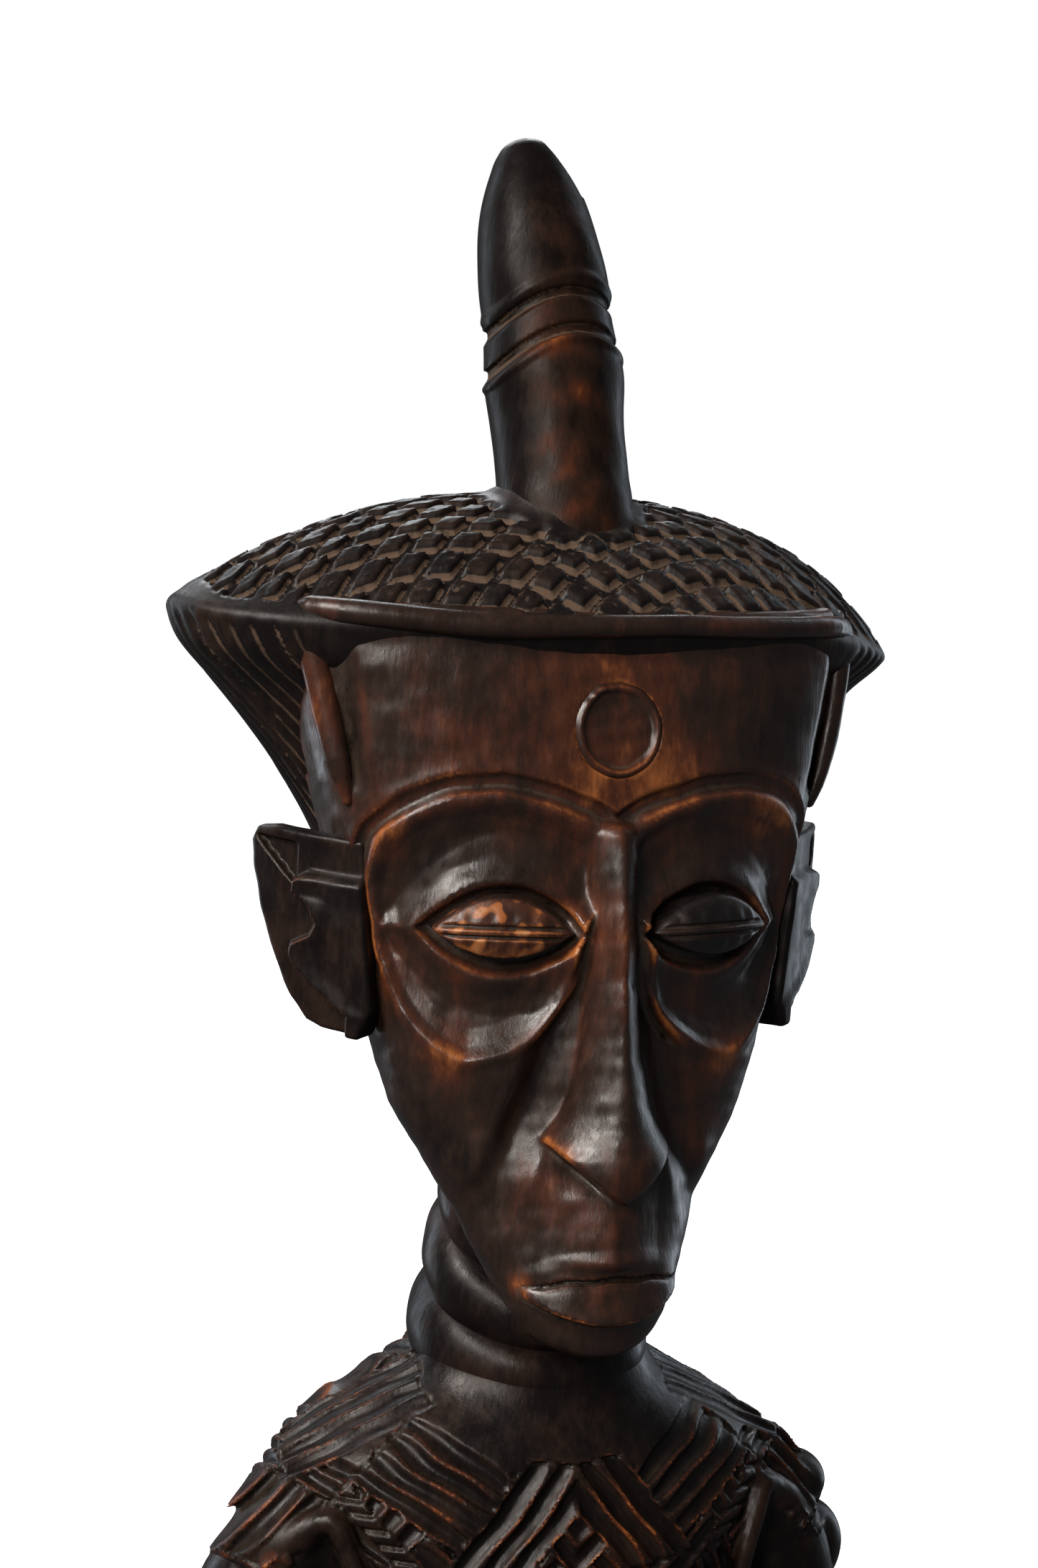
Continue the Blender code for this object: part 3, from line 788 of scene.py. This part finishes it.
def breast(p):
    """A long cone with fine rings, which points forward and a little down."""
    axis = np.array((0.16, -0.93, -0.33))
    turn = ((0.985, 0.17, 0.0), (0.055, -0.318, 0.947), tuple(axis / np.linalg.norm(axis)))
    u, v, w = rotated(mirror(p), (17, -23, 184), turn)
    r = np.hypot(u, v)
    at = (-4, 0, 6, 12, 17, 19.2, 20.0, 21.6, 22.6)
    radius = np.interp(w, at, (11.2, 11.3, 10.2, 7.4, 4.4, 3.0, 3.2, 2.4, 0.2))
    f = common((r - radius) * 0.85, np.abs(w - 8) - 14.6, 1.0)
    rings = 0.25 * np.cos(w * 2.0) * ramp(3, 6, w) * ramp(16, 13, w)
    return f + 0.3 * rings - 0.08 * waver(p, 9, 19)


def navel(p):
    """A round boss with a dimple."""
    dimple = ramp(1.5, 0.5, np.hypot(p[0], p[2] - 145))
    return ellipsoid(p, (0, -43.0, 145), (4.9, 5.2, 4.9)) + 0.9 * dimple


HIPS = [
    (98, 22, -10, 4, 20),
    (103, 33, -20, 5, 29),
    (110, 37.5, -26, 6, 34),
    (117, 38.5, -31, 4, 33.5),
    (127, 37, -34, 3, 27.5),
]
hips_base = loft(HIPS, end=2.5)

BEAD_HEIGHT, BEAD_WIDTH = 4.2, 4.4


def hips(p):
    """The hips under a girdle of small square beads, in rows that are staggered."""
    x, y, z = p
    rows = (z - 98) / BEAD_HEIGHT
    lanes = np.arctan2(x, -(y - 2)) * 36 / BEAD_WIDTH + 0.5 * (np.floor(rows) % 2)
    lane, row = lanes % 1.0, rows % 1.0
    beads = ramp(0.16, 0.34, np.minimum(lane, 1 - lane))
    beads = beads * ramp(0.12, 0.3, np.minimum(row, 1 - row))
    band = ramp(112, 113, z) * ramp(127, 126, z)
    return hips_base(p) + 0.75 * (1 - beads) * band - 0.1 * waver(p, 12, 20)


LEG = smooth_path(
    (18, 4, 110, 14.5), (20, -2, 92, 15.3), (20.5, -8, 73, 11.8), (20.2, 1, 55, 12.6),
    (19, 4, 39, 9.2), (19, 4, 27, 9),
)


def leg(p):
    """A bent leg with a round knee and two anklets."""
    q = mirror(p)
    f = tube(q, LEG, 3.0)
    f = blend(f, ellipsoid(q, (20.5, -14.5, 73), (8.0, 6.5, 9.0)), 3.0)
    anklets = bump(p[2], 42, 1.6) + bump(p[2], 38.2, 1.6)
    return f - 0.9 * anklets - 0.12 * waver(p, 13, 21)


def foot(p):
    """A foot with five toes, whose sole stands on the plinth."""
    q = mirror(p)
    x, y, z = q
    body = ellipsoid(q, (20.5, -12, 20), (13.2, 24, 9.5))
    heel = ellipsoid(q, (18.5, 8, 22), (10.5, 11, 10.5))
    f = blend(body, heel, 6.0)
    f = f + 1.2 * ramp(0.6, 1.0, from_middle((x - 8.5) / 4.9)) * ramp(-24, -28, y)
    f = common(f, 16.6 - z, 0.5)
    return f - 0.1 * waver(p, 9, 22)


def plinth(p):
    """A round stand, pared to faint flats round its side."""
    x, y, z = p
    r = np.hypot(x, y)
    angle = np.arctan2(y, x)
    facets = 0.45 * np.abs(np.sin(angle * 13 + 0.4 * np.sin(angle * 3))) - 0.2
    side = r - 61.6 + facets * ramp(1, 4, z) + 0.15 * waver(p, 15, 23)
    f = common(side, z - 17.0, 3.0)
    return common(f, -z, 0.6)


# ---- meshing


BATCH = 400_000  # the most points read at once


def sample(field, low, shape, cell):
    """field on a grid: exact near the surface, and a coarse reading elsewhere."""
    coarse = 3
    counts = [math.ceil(n / coarse) for n in shape]
    axes = [low[i] + (np.arange(counts[i]) * coarse + 1) * cell for i in range(3)]
    grid = np.stack(np.meshgrid(*axes, indexing="ij"), -1).reshape(-1, 3)
    rough = field(grid.T).astype(np.float32).reshape(counts)
    near = np.abs(rough) < 2.2 * coarse * cell + 1.0
    values = rough
    for axis in range(3):
        values = np.repeat(values, coarse, axis=axis)
        near = np.repeat(near, coarse, axis=axis)
    where = np.argwhere(near)
    points = where * cell + np.array(low)
    found = np.empty(len(points), np.float32)
    for start in range(0, len(points), BATCH):
        part = slice(start, start + BATCH)
        found[part] = field(points[part].T)
    values[tuple(where.T)] = found
    return values


def surface_net(values):
    """The zero surface of a grid of values: points in cells, and quads."""
    inside = values < 0
    nx, ny, nz = values.shape
    corners = [(i, j, k) for i in (0, 1) for j in (0, 1) for k in (0, 1)]

    def shifted(a, c):
        return a[c[0] : nx - 1 + c[0], c[1] : ny - 1 + c[1], c[2] : nz - 1 + c[2]]

    count = sum(shifted(inside, c).astype(np.uint8) for c in corners)
    cells = np.argwhere((count > 0) & (count < 8))
    number = np.full((nx, ny, nz), -1, np.int32)
    number[tuple(cells.T)] = np.arange(len(cells))
    v = {c: values[tuple((cells + c).T)] for c in corners}
    total = np.zeros((len(cells), 3))
    hits = np.zeros(len(cells))
    for a in corners:
        for axis in range(3):
            if a[axis]:
                continue
            b = tuple(1 if i == axis else a[i] for i in range(3))
            crosses = (v[a] < 0) != (v[b] < 0)
            t = v[a] / np.where(crosses, v[a] - v[b], 1)
            point = np.tile(np.array(a, float), (len(cells), 1))
            point[:, axis] += t
            total += np.where(crosses[:, None], point, 0)
            hits += crosses
    points = cells + total / hits[:, None]
    quads = []
    for axis in range(3):
        first = [slice(1, -1)] * 3
        second = [slice(1, -1)] * 3
        first[axis] = slice(0, -1)
        second[axis] = slice(1, None)
        a, b = inside[tuple(first)], inside[tuple(second)]
        at = np.argwhere(a != b)
        at[:, [i for i in range(3) if i != axis]] += 1
        one, two = (axis + 1) % 3, (axis + 2) % 3
        steps = np.zeros((4, 3), int)
        steps[1, one] = steps[2, one] = steps[2, two] = steps[3, two] = -1
        quad = np.stack([number[tuple((at + s).T)] for s in steps], 1)
        outward = inside[tuple(at.T)]
        quad[~outward] = quad[~outward][:, ::-1]
        quads.append(quad)
    return points, np.concatenate(quads)


def gradient(field, points, h=0.08):
    """How fast the field grows along each axis, read h millimetres either way."""
    steps = np.eye(3) * h
    slopes = [field((points + step).T) - field((points - step).T) for step in steps]
    return np.stack(slopes, 1) / (2 * h)


def sculpt(field, box, cell):
    """The field's surface as points in millimetres, quads and outward normals."""
    low = np.array(box[0], float) - 2 * cell
    shape = [math.ceil((box[1][i] - low[i]) / cell) + 3 for i in range(3)]
    values = sample(field, low, shape, cell)
    points, quads = surface_net(values)
    points = points * cell + low
    for _ in range(2):
        slope = gradient(field, points)
        size = np.maximum((slope**2).sum(1), 0.04)
        move = slope * (field(points.T) / size)[:, None]
        far = np.linalg.norm(move, axis=1, keepdims=True)
        points = points - move * np.minimum(1, 0.45 * cell / np.maximum(far, 1e-9))
    slope = gradient(field, points)
    normals = slope / np.maximum(np.linalg.norm(slope, axis=1, keepdims=True), 1e-9)
    return points, quads, normals


def hollowness(field, points, normals, reach):
    """Above 0 in hollows and below 0 on ridges, read reach millimetres away."""
    out = field((points + normals * reach).T) / reach
    back = -field((points - normals * reach).T) / reach
    return np.clip((back - out) / 2, -1, 1)


# ---- pieces


def mesh_of(name, points, quads):
    mesh = bpy.data.meshes.new(name)
    mesh.vertices.add(len(points))
    mesh.vertices.foreach_set("co", (points * MM).astype(np.float32).ravel())
    mesh.loops.add(quads.size)
    mesh.loops.foreach_set("vertex_index", quads.astype(np.int32).ravel())
    mesh.polygons.add(len(quads))
    mesh.polygons.foreach_set("loop_start", np.arange(0, quads.size, 4, dtype=np.int32))
    mesh.polygons.foreach_set("use_smooth", np.ones(len(quads), bool))
    mesh.update(calc_edges=True)
    mesh.validate()
    return mesh


def make_piece(name, field, box, cell, slot, nodes, worn=None):
    """One carved element as a mesh that rides on the figure, in the place of its nodes, with its
    hollows, its worn ridges, and its spots of wear and painted light kept on its points."""
    points, quads, normals = sculpt(field, box, cell)
    mesh = mesh_of(name, points, quads)
    kept = {
        "hollow": hollowness(field, points, normals, 0.7),
        "hollow_wide": hollowness(field, points, normals, 2.6),
        "worn": worn(points) if worn else np.zeros(len(points)),
    }
    for key, values in kept.items():
        layer = mesh.attributes.new(key, "FLOAT", "POINT")
        layer.data.foreach_set("value", values.astype(np.float32))
    obj = bpy.data.objects.new(name, mesh)
    bpy.context.scene.collection.objects.link(obj)
    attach(obj, "root")
    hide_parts(*nodes)
    return obj


# ---- materials


def node(tree, kind, inputs=None, **settings):
    """A new node, whose inputs are set, or linked where the value is another node's output."""
    made = tree.nodes.new(kind)
    for key, value in settings.items():
        setattr(made, key, value)
    for key, value in (inputs or {}).items():
        if isinstance(value, bpy.types.NodeSocket):
            tree.links.new(value, made.inputs[key])
        else:
            made.inputs[key].default_value = value
    return made


def maths(tree, operation, a, b=0.0, clamp=False):
    inputs = {0: a, 1: b}
    return node(tree, "ShaderNodeMath", inputs, operation=operation, use_clamp=clamp).outputs[0]


def spread(tree, value, low, high, start=0.0, end=1.0):
    """value, smoothly spread from low..high to start..end."""
    inputs = {"Value": value, "From Min": low, "From Max": high, "To Min": start, "To Max": end}
    made = node(tree, "ShaderNodeMapRange", inputs, interpolation_type="SMOOTHSTEP")
    return made.outputs[0]


def mixed(tree, factor, a, b):
    made = node(tree, "ShaderNodeMix", {0: factor, 6: a, 7: b}, data_type="RGBA")
    return made.outputs[2]


def speckle(tree, place, scale, stretch=(1, 1, 1), detail=3.0, rough=0.55):
    """Noise of a given number of lumps per metre, stretched along the trunk's axes."""
    inputs = {"Vector": place, "Scale": stretch}
    mapped = node(tree, "ShaderNodeMapping", inputs).outputs[0]
    inputs = {"Vector": mapped, "Scale": scale, "Detail": detail, "Roughness": rough}
    return node(tree, "ShaderNodeTexNoise", inputs).outputs["Fac"]


def added(tree, *values):
    total = values[0]
    for value in values[1:]:
        total = maths(tree, "ADD", total, value)
    return total


def centred(tree, noise, amount):
    """Noise moved to lie about 0, and scaled."""
    return maths(tree, "MULTIPLY", maths(tree, "SUBTRACT", noise, 0.5), amount)


def rgb(r, g, b):
    return (r, g, b, 1.0)


DARK = rgb(0.006, 0.0042, 0.0038)
UMBER = rgb(0.023, 0.0115, 0.0078)
RED = rgb(0.07, 0.02, 0.009)
ORANGE = rgb(0.3, 0.095, 0.024)
TAN = rgb(0.52, 0.25, 0.11)
DUST = rgb(0.105, 0.066, 0.043)


def carved_wood(name, wear=0.0, dust=0.0, red=0.5, gloss=0.36, edges=0.75, sheen=0.5):
    """Stained hardwood: black in the hollows, red and then orange where hands have rubbed the
    stain away, and dusty in the tool marks. The worn values kept on some pieces also hold painted
    light, which lightens the colour the same way."""
    material = bpy.data.materials.new(name)
    material.use_nodes = True
    tree = material.node_tree
    tree.nodes.clear()
    place = node(tree, "ShaderNodeTexCoord").outputs["Object"]

    def kept(key):
        return node(tree, "ShaderNodeAttribute", attribute_name=key).outputs["Fac"]

    def times(a, b):
        return maths(tree, "MULTIPLY", a, b)

    hollow = kept("hollow")
    blotch = speckle(tree, place, 85, (1, 1, 0.7), 4.0, 0.6)
    small = speckle(tree, place, 420, (1, 1, 0.45), 4.0, 0.65)
    lumps = speckle(tree, place, 330, (1, 1, 0.35), 3.0)
    fibre = speckle(tree, place, 1500, (1, 1, 0.07), 3.0, 0.6)
    vessel = speckle(tree, place, 2300, (1, 1, 0.035), 2.0, 0.5)
    # How far the stain is rubbed away here, together with painted light from the worn values, and
    # the colours that it goes through.
    bare_and_painted_light = added(
        tree,
        times(hollow, -0.8 * edges),
        times(kept("hollow_wide"), -0.6 * edges),
        centred(tree, blotch, 1.15),
        centred(tree, small, 0.65),
        centred(tree, fibre, 0.25),
        wear,
        # worn: rubbed spots, and on the face and topknot painted light as well.
        kept("worn"),
    )
    colour = mixed(tree, spread(tree, bare_and_painted_light, -0.35, 0.12), DARK, UMBER)
    colour = mixed(tree, spread(tree, bare_and_painted_light, 0.05, 0.5, 0.0, red), colour, RED)
    colour = mixed(tree, spread(tree, bare_and_painted_light, 0.38, 0.86), colour, ORANGE)
    colour = mixed(tree, spread(tree, bare_and_painted_light, 0.95, 1.45), colour, TAN)
    pores = spread(tree, vessel, 0.6, 0.7)
    colour = mixed(tree, times(pores, 0.22), colour, DARK)
    settled = times(spread(tree, hollow, 0.02, 0.3), spread(tree, small, 0.25, 0.5))
    settled = times(settled, dust)
    colour = mixed(tree, settled, colour, DUST)
    rough = added(tree, gloss, spread(tree, small, 0.3, 0.7, -0.07, 0.11), times(settled, 0.35))
    rough = maths(tree, "ADD", rough, times(pores, 0.08), clamp=True)
    below = {}
    for height, deep, strength in (
        (lumps, 0.00042, 0.2),
        (fibre, 0.00012, 0.35),
        (pores, -0.00008, 0.12),
    ):
        inputs = {"Height": height, "Distance": deep, "Strength": strength} | below
        below = {"Normal": node(tree, "ShaderNodeBump", inputs).outputs[0]}
    inputs = {"Base Color": colour, "Roughness": rough, "Specular IOR Level": sheen} | below
    shader = node(tree, "ShaderNodeBsdfPrincipled", inputs)
    node(tree, "ShaderNodeOutputMaterial", {"Surface": shader.outputs[0]})
    return material


FINISH = {
    "face": carved_wood("face_wood", wear=0.1, dust=0.3, red=1.0, gloss=0.31, sheen=0.46),
    "trunk": carved_wood("trunk_wood", wear=-0.22, dust=0.15, red=1.0, gloss=0.34, sheen=0.2),
    "hair": carved_wood("hair_wood", -0.28, dust=0.95, red=0.6, gloss=0.44, edges=0.2, sheen=0.26),
    "knot": carved_wood("knot_wood", 0.04, dust=0.6, red=1.0, gloss=0.36, edges=0.4, sheen=0.08),
    "worn": carved_wood("worn_wood", dust=0.3, red=0.7, gloss=0.4),
    "plinth": carved_wood("plinth_wood", wear=-0.1, dust=0.8, red=0.5, gloss=0.48, sheen=0.3),
}

# ---- the pieces, in place


def colour_spots(*spots):
    """Spots that lighten the colour, or darken it where the amount is negative: (x, y, z, radius,
    amount). Most are where hands have worn the stain; some are painted light.
    """

    def amount(points):
        total = np.zeros(len(points))
        for *centre, radius, much in spots:
            total += much * ramp(radius, 0, np.linalg.norm(points - centre, axis=1))
        return total

    return amount


def one_side(field, side):
    """field on one side of the figure only, for the pieces that come in pairs."""
    return lambda p: common(field(p), 0.3 - side * p[0], 0.2)


def near_eye_wear(points):
    """Her right eye is rubbed down to the pale wood in patches, and her left one hardly."""
    x, y, z = points.T
    near_side = ramp(-5, -10, x)
    middle = ramp(10, 6, np.hypot(np.abs(x) - 18.0, 1.7 * (z - 299.8)))
    patches = ramp(0.12, 0.55, waver((x, y * 1.3, z * 0.55), 2.9, 6))
    return near_side * middle * (0.3 + 0.68 * patches) - 0.3 * (1 - near_side)


# Spots of rubbed stain on the face, and one painted highlight: the spot at (-27, -18, 322)
# lightens her right side of the forehead where the light falls on it.
FACE_WEAR_AND_PAINTED_LIGHT = colour_spots(
    (-9.8, -26, 267, 3.2, 0.85), (-7.8, -29, 267.2, 2.8, 0.45), (-26, -16, 268, 15, -0.25),
    (-24, -19, 279.5, 8, 0.25), (22, -21, 279, 7, 0.55), (15, -21, 289, 5, 0.4),
    (-12.6, -26, 245.8, 4, 0.6), (-33, -13, 313, 8, 0.4), (28, -17.5, 317, 11, 0.5),
    (-31, -10, 290, 10, 0.35), (0, -26, 300, 10, 0.3), (0, -19, 329, 28, 0.42),
    (-27, -18, 322, 12, 0.35),
)


def knot_tone_and_painted_light(points):
    """The topknot is painted lighter and red down its front, where the lamps light it, and left
    black at the sides as painted shade, and at the tip, with a mottled tone.
    """
    x, y, z = points.T
    along = KNOT_TIP - KNOT_FOOT
    t = (z - KNOT_FOOT[2]) / along[2]
    dx, dy = x - KNOT_FOOT[0] - t * along[0], y - KNOT_FOOT[1] - t * along[1]
    # facing: how far the surface turns to the front; the front is painted as lit and the sides as
    # shaded.
    facing = (0.05 * dx - dy) / np.maximum(np.hypot(dx, dy), 1)
    front = ramp(0.45, 0.98, facing)
    high = ramp(388, 396, z)
    mottle = waver((x, y, z * 0.7), 6.0, 4)
    return front * (0.5 + 0.24 * mottle) * (1 - 0.35 * high) * ramp(412, 404, z) - 0.42


TORSO_WEAR = colour_spots(
    (-45, -12.5, 198.6, 5, 0.8), (-48.6, -10.5, 194, 4.5, 0.7), (8, -26, 200, 10, 0.35),
)
BEAD_WEAR = colour_spots((0, 0, 330, 400, -0.12), (-42, -5, 331, 12, 0.3))
DULL = colour_spots((0, 0, 300, 400, -0.12))

# Name, as its CAD node's, field, box and cell in mm, finish, slot, and any spots of wear and
# painted light.
STAINED, HAIR_SLOT, WORN, BASE = "stained_wood", "coiffure_wood", "worn_wood", "plinth_wood"
TRUNK = ("trunk", STAINED)
PIECES = [
    ("head", head, ((-48, -38, 232), (48, 37, 349)), 0.46, "face", STAINED, FACE_WEAR_AND_PAINTED_LIGHT),
    ("coiffure", coiffure, ((-65, -20, 264), (65, 51, 368)), 0.47, "hair", HAIR_SLOT),
    ("topknot", topknot, ((-17, -8, 350), (17, 42, 420)), 0.4, "knot", HAIR_SLOT, knot_tone_and_painted_light),
    ("hairline_bead", bead, ((-50, -19, 314), (50, 1, 350)), 0.34, "face", HAIR_SLOT, BEAD_WEAR),
    ("forehead_disc", forehead_disc, ((-9, -25, 320), (10, -10, 339)), 0.28, "face", WORN, DULL),
    ("neck_ring_lower", ring_lower, ((-23, -24, 214), (23, 24, 245)), 0.5, *TRUNK),
    ("neck_ring_middle", ring_middle, ((-22, -24, 224), (22, 22, 258)), 0.5, *TRUNK),
    ("neck_ring_upper", ring_upper, ((-20, -22, 234), (20, 18, 268)), 0.5, *TRUNK),
    ("torso", torso, ((-61, -46, 119), (61, 30, 240)), 0.52, *TRUNK, TORSO_WEAR),
    ("hips", hips, ((-42, -37, 95), (42, 36, 130)), 0.6, *TRUNK),
    ("navel", navel, ((-6, -49, 139), (6, -37, 151)), 0.35, *TRUNK),
    ("plinth", plinth, ((-64, -64, -2), (64, 64, 19)), 0.8, "plinth", BASE),
]
# The same for her left one of each pair.
SIDED = [
    ("eye", eyeball, ((6, -30, 288), (31, -10, 306)), 0.25, "worn", WORN, near_eye_wear),
    ("ear", ear, ((26, -12, 276), (54, 20, 314)), 0.34, *TRUNK, DULL),
    ("upper_arm", upper_arm, ((28, -18, 140), (60, 14, 206)), 0.55, *TRUNK),
    ("forearm", forearm, ((28, -45, 134), (56, 9, 161)), 0.55, *TRUNK),
    ("hand", hand, ((10, -52, 134), (42, -30, 157)), 0.42, *TRUNK),
    ("breast", breast, ((4, -48, 166), (34, -18, 200)), 0.42, *TRUNK),
    ("leg", leg, ((0, -24, 18), (38, 22, 126)), 0.7, *TRUNK),
    ("foot", foot, ((4, -38, 14), (36, 22, 36)), 0.6, *TRUNK),
]

for name, field, box, cell, *rest in SIDED:
    (x0, y0, z0), (x1, y1, z1) = box
    for side, word in ((1, "left"), (-1, "right")):
        placed = box if side > 0 else ((-x1, y0, z0), (-x0, y1, z1))
        PIECES.append((f"{name}_{word}", one_side(field, side), placed, cell, *rest))

for name, field, box, cell, finish, slot, *worn in PIECES:
    piece = make_piece(name, field, box, cell, slot, [name], *worn)
    piece.data.materials.append(FINISH[finish])

# ---- floor, lights, camera

bpy.ops.mesh.primitive_plane_add(size=12, location=(0, 0, -0.0002))
floor = bpy.context.object
floor.name = "floor"
material = bpy.data.materials.new("pale_floor")
material.use_nodes = True
floor.data.materials.append(material)
tree = material.node_tree
pale = tree.nodes["Principled BSDF"].inputs
pale["Base Color"].default_value = rgb(0.86, 0.86, 0.85)
pale["Roughness"].default_value = 0.7
pale["Emission Color"].default_value = rgb(1, 1, 1)
# The floor glows nearly as white as the backdrop; an ambient-occlusion reading dims its glow close
# round the plinth, a painted contact shadow.
ao_painted_shadow = node(tree, "ShaderNodeAmbientOcclusion", {"Distance": 0.12}, samples=8).outputs["AO"]
tree.links.new(spread(tree, ao_painted_shadow, 0.45, 1.0, 0.35, 0.96), pale["Emission Strength"])
floor.visible_diffuse = floor.visible_glossy = False
floor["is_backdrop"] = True

world = bpy.data.worlds.new("studio")
bpy.context.scene.world = world
world.use_nodes = True
tree = world.node_tree
tree.nodes.clear()
# The camera sees white, and the figure is lit by a faint, cool air.
seen = node(tree, "ShaderNodeLightPath").outputs["Is Camera Ray"]
white = node(tree, "ShaderNodeBackground", {"Color": rgb(1, 1, 1), "Strength": 1.0})
air = node(tree, "ShaderNodeBackground", {"Color": rgb(0.9, 0.95, 1.0), "Strength": 0.1})
both = node(tree, "ShaderNodeMixShader", {0: seen, 1: air.outputs[0], 2: white.outputs[0]})
node(tree, "ShaderNodeOutputWorld", {"Surface": both.outputs[0]})

TARGET = Vector((-8, 0, 318)) * MM  # what the camera and the lights point at
WARM, COOL, PALE = (1.0, 0.94, 0.88), (0.8, 0.9, 1.0), (0.92, 0.96, 1.0)
# Name, azimuth from straight in front of her, elevation, metres away, size, watts and colour.
SOFTBOXES = [
    ("key", -74, 36, 1.0, (0.35, 0.45), 11.5, WARM),
    ("front", -43, 26, 1.3, (0.4, 0.36), 8, WARM),
    ("side_right", 112, 12, 1.0, (0.3, 1.2), 2.9, COOL),
    ("back", 168, 34, 1.3, (0.8, 0.5), 9, PALE),
    ("side_left", -144, 8, 1.0, (0.3, 1.2), 4, COOL),
]


def direction(azimuth, elevation):
    """The unit vector from the target towards a light or the camera."""
    a, e = math.radians(azimuth), math.radians(elevation)
    return Vector((math.sin(a) * math.cos(e), -math.cos(a) * math.cos(e), math.sin(e)))


for name, azimuth, elevation, distance, size, power, colour in SOFTBOXES:
    back = direction(azimuth, elevation)
    data = bpy.data.lights.new(name, "AREA")
    data.shape = "RECTANGLE"
    data.size, data.size_y = size
    data.energy = power
    data.color = colour
    lamp = bpy.data.objects.new(name, data)
    bpy.context.scene.collection.objects.link(lamp)
    lamp.location = TARGET + back * distance
    lamp.rotation_euler = back.to_track_quat("Z", "Y").to_euler()

AZIMUTH, ELEVATION, DISTANCE = -22, 10, 0.5
ROLL = math.radians(4)
SENSOR = 36.0
LENS = SENSOR * 4500 / 2182  # a focal length of 4500 where the image is 2182 high

camera = bpy.data.cameras.new("camera")
camera.sensor_fit = "VERTICAL"
camera.sensor_width = camera.sensor_height = SENSOR
camera.lens = LENS
camera.clip_start = 0.01
viewer = bpy.data.objects.new("camera", camera)
bpy.context.scene.collection.objects.link(viewer)
back = direction(AZIMUTH, ELEVATION)
right = direction(AZIMUTH + 90, 0)
up = back.cross(right)
tilted = right * math.cos(ROLL) + up * math.sin(ROLL)
upright = up * math.cos(ROLL) - right * math.sin(ROLL)
place = Matrix((tilted, upright, back)).transposed().to_4x4()
place.translation = TARGET + back * DISTANCE
viewer.matrix_world = place
bpy.context.scene.camera = viewer
bpy.context.scene.view_settings.view_transform = "Standard"

boxes = [[list(map(float, corner)) for corner in found] for found in (CAD_BOX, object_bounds())]
